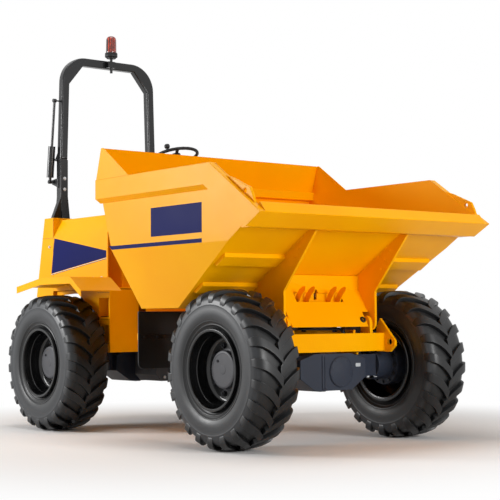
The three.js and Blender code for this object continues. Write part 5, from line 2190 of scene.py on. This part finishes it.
# ---- studio
@dataclass
class Studio:
    """A pale floor that fades to white, soft lamps, and the camera."""

    place: Point = (9.025, -6.787, 0.957)
    yaw: float = 51.79
    pitch: float = -2.91
    roll: float = -0.42
    lens: float = 96.5
    floor_tone: str = "F6F6F6"
    reach: float = 60.0
    fade: Pair = (1.9, 4.6)
    sky: float = 0.26
    fill_tone: str = "FFF1E6"

    def build(self) -> None:
        """Builds the camera, floor and lamps."""
        self.camera()
        self.floor()
        self.world()
        self.lamp("key", (-5.0, -6.6, 3.2), (-0.5, 0, 1.4), 2.6, 430)
        self.lamp("top", (0.5, -1.0, 9.0), (0.2, 0, 1.0), 4.0, 230)
        self.lamp("front", (9.5, 1.0, 3.0), (0.8, 0, 1.5), 3.0, 400)

    def camera(self) -> None:
        """Stands the camera at its place with its yaw, pitch and roll."""
        a, e, s = (math.radians(v) for v in (self.yaw, self.pitch, self.roll))
        ahead = Vector((-math.sin(a) * math.cos(e), math.cos(a) * math.cos(e), -math.sin(e)))
        right = ahead.cross(Vector((0, 0, 1))).normalized()
        up = right.cross(ahead)
        right_rolled = right * math.cos(s) + up * math.sin(s)
        up_rolled = up * math.cos(s) - right * math.sin(s)
        data = bpy.data.cameras.new("camera")
        data.lens = self.lens
        data.sensor_width = 36
        data.clip_end = 200
        made = bpy.data.objects.new("camera", data)
        bpy.context.scene.collection.objects.link(made)
        turn = Matrix((right_rolled, up_rolled, -ahead)).transposed().to_4x4()
        made.matrix_world = Matrix.Translation(self.place) @ turn
        bpy.context.scene.camera = made

    def floor(self) -> None:
        """Lays the floor: pale where the machine's shadow falls, and white to the camera beyond that."""
        far = self.reach
        made = link_temporary(block((-far, far), (-far, far), (-20 * MM, -0.5 * MM)), "floor")
        material = bpy.data.materials.new("studio_floor")
        material.use_nodes = True
        tree = material.node_tree
        tree.nodes.clear()
        pale = add_node(tree, "ShaderNodeBsdfPrincipled", {
            "Base Color": linear(self.floor_tone), "Roughness": 0.9, "Specular IOR Level": 0.1,
        })
        place = add_node(tree, "ShaderNodeTexCoord").outputs["Object"]
        reach = add_node(tree, "ShaderNodeVectorMath", {0: place}, operation="LENGTH").outputs["Value"]
        beyond = add_node(
            tree, "ShaderNodeMapRange",
            {"Value": reach, "From Min": self.fade[0], "From Max": self.fade[1]},
            interpolation_type="SMOOTHSTEP",
        ).outputs["Result"]
        share = add_node(
            tree, "ShaderNodeMath", {0: beyond, 1: self.plain_rays(tree)}, operation="MULTIPLY"
        ).outputs[0]
        white = add_node(tree, "ShaderNodeEmission", {"Color": (1, 1, 1, 1), "Strength": 1.0})
        mixed = add_node(
            tree, "ShaderNodeMixShader", {0: share, 1: pale.outputs[0], 2: white.outputs[0]}
        )
        add_node(tree, "ShaderNodeOutputMaterial", {"Surface": mixed.outputs[0]})
        made.data.materials.append(material)

    def plain_rays(self, tree: Tree) -> Socket:
        """Adds up the rays that see the plain background: camera, glossy and transmission.

        Args:
            tree: The tree that gets the nodes.

        Returns:
            1 for such a ray and 0 for the rest.
        """
        path = add_node(tree, "ShaderNodeLightPath")
        seen = add_node(
            tree, "ShaderNodeMath", {0: path.outputs["Is Camera Ray"], 1: path.outputs["Is Glossy Ray"]},
            operation="ADD",
        )
        return add_node(
            tree, "ShaderNodeMath", {0: seen.outputs[0], 1: path.outputs["Is Transmission Ray"]},
            operation="ADD", use_clamp=True,
        ).outputs[0]

    def world(self) -> None:
        """Lights the scene evenly, and shows white to the camera and to reflections."""
        world = bpy.data.worlds.new("studio")
        world.use_nodes = True
        tree = world.node_tree
        tree.nodes.clear()
        plain = self.plain_rays(tree)
        level = add_node(tree, "ShaderNodeMapRange", {"Value": plain, "To Min": self.sky, "To Max": 1.0})
        tint = add_node(tree, "ShaderNodeMix", {"Factor": plain}, data_type="RGBA")
        tint.inputs["A"].default_value, tint.inputs["B"].default_value = linear(self.fill_tone), (1, 1, 1, 1)
        sky = add_node(tree, "ShaderNodeBackground", {
            "Color": tint.outputs["Result"], "Strength": level.outputs["Result"],
        })
        add_node(tree, "ShaderNodeOutputWorld", {"Surface": sky.outputs[0]})
        bpy.context.scene.world = world

    def lamp(self, name: str, place: Point, target: Point, size: float, power: float) -> None:
        """Adds one soft area lamp.

        Args:
            name: Its name.
            place: Where it stands.
            target: The point that it is aimed at.
            size: Its disc's diameter.
            power: Its power in watts.
        """
        data = bpy.data.lights.new(name, "AREA")
        data.shape = "DISK"
        data.size = size
        data.energy = power
        made = bpy.data.objects.new(name, data)
        bpy.context.scene.collection.objects.link(made)
        made.matrix_world = facing(place, Vector(target) - Vector(place), "-Z")


def main() -> None:
    """Builds every sub-assembly in order."""
    logging.basicConfig(level=logging.INFO, format="%(message)s")
    bpy.context.scene.view_settings.view_transform = "Standard"
    for part in (
        Studio(), RunningGear(), FrontFrame(), Skip(), RearFrame(), BodyWork(), OperatorPlace(), RollBar(),
    ):
        log.info("building %s", type(part).__name__)
        part.build()


if __name__ == "__main__":
    main()
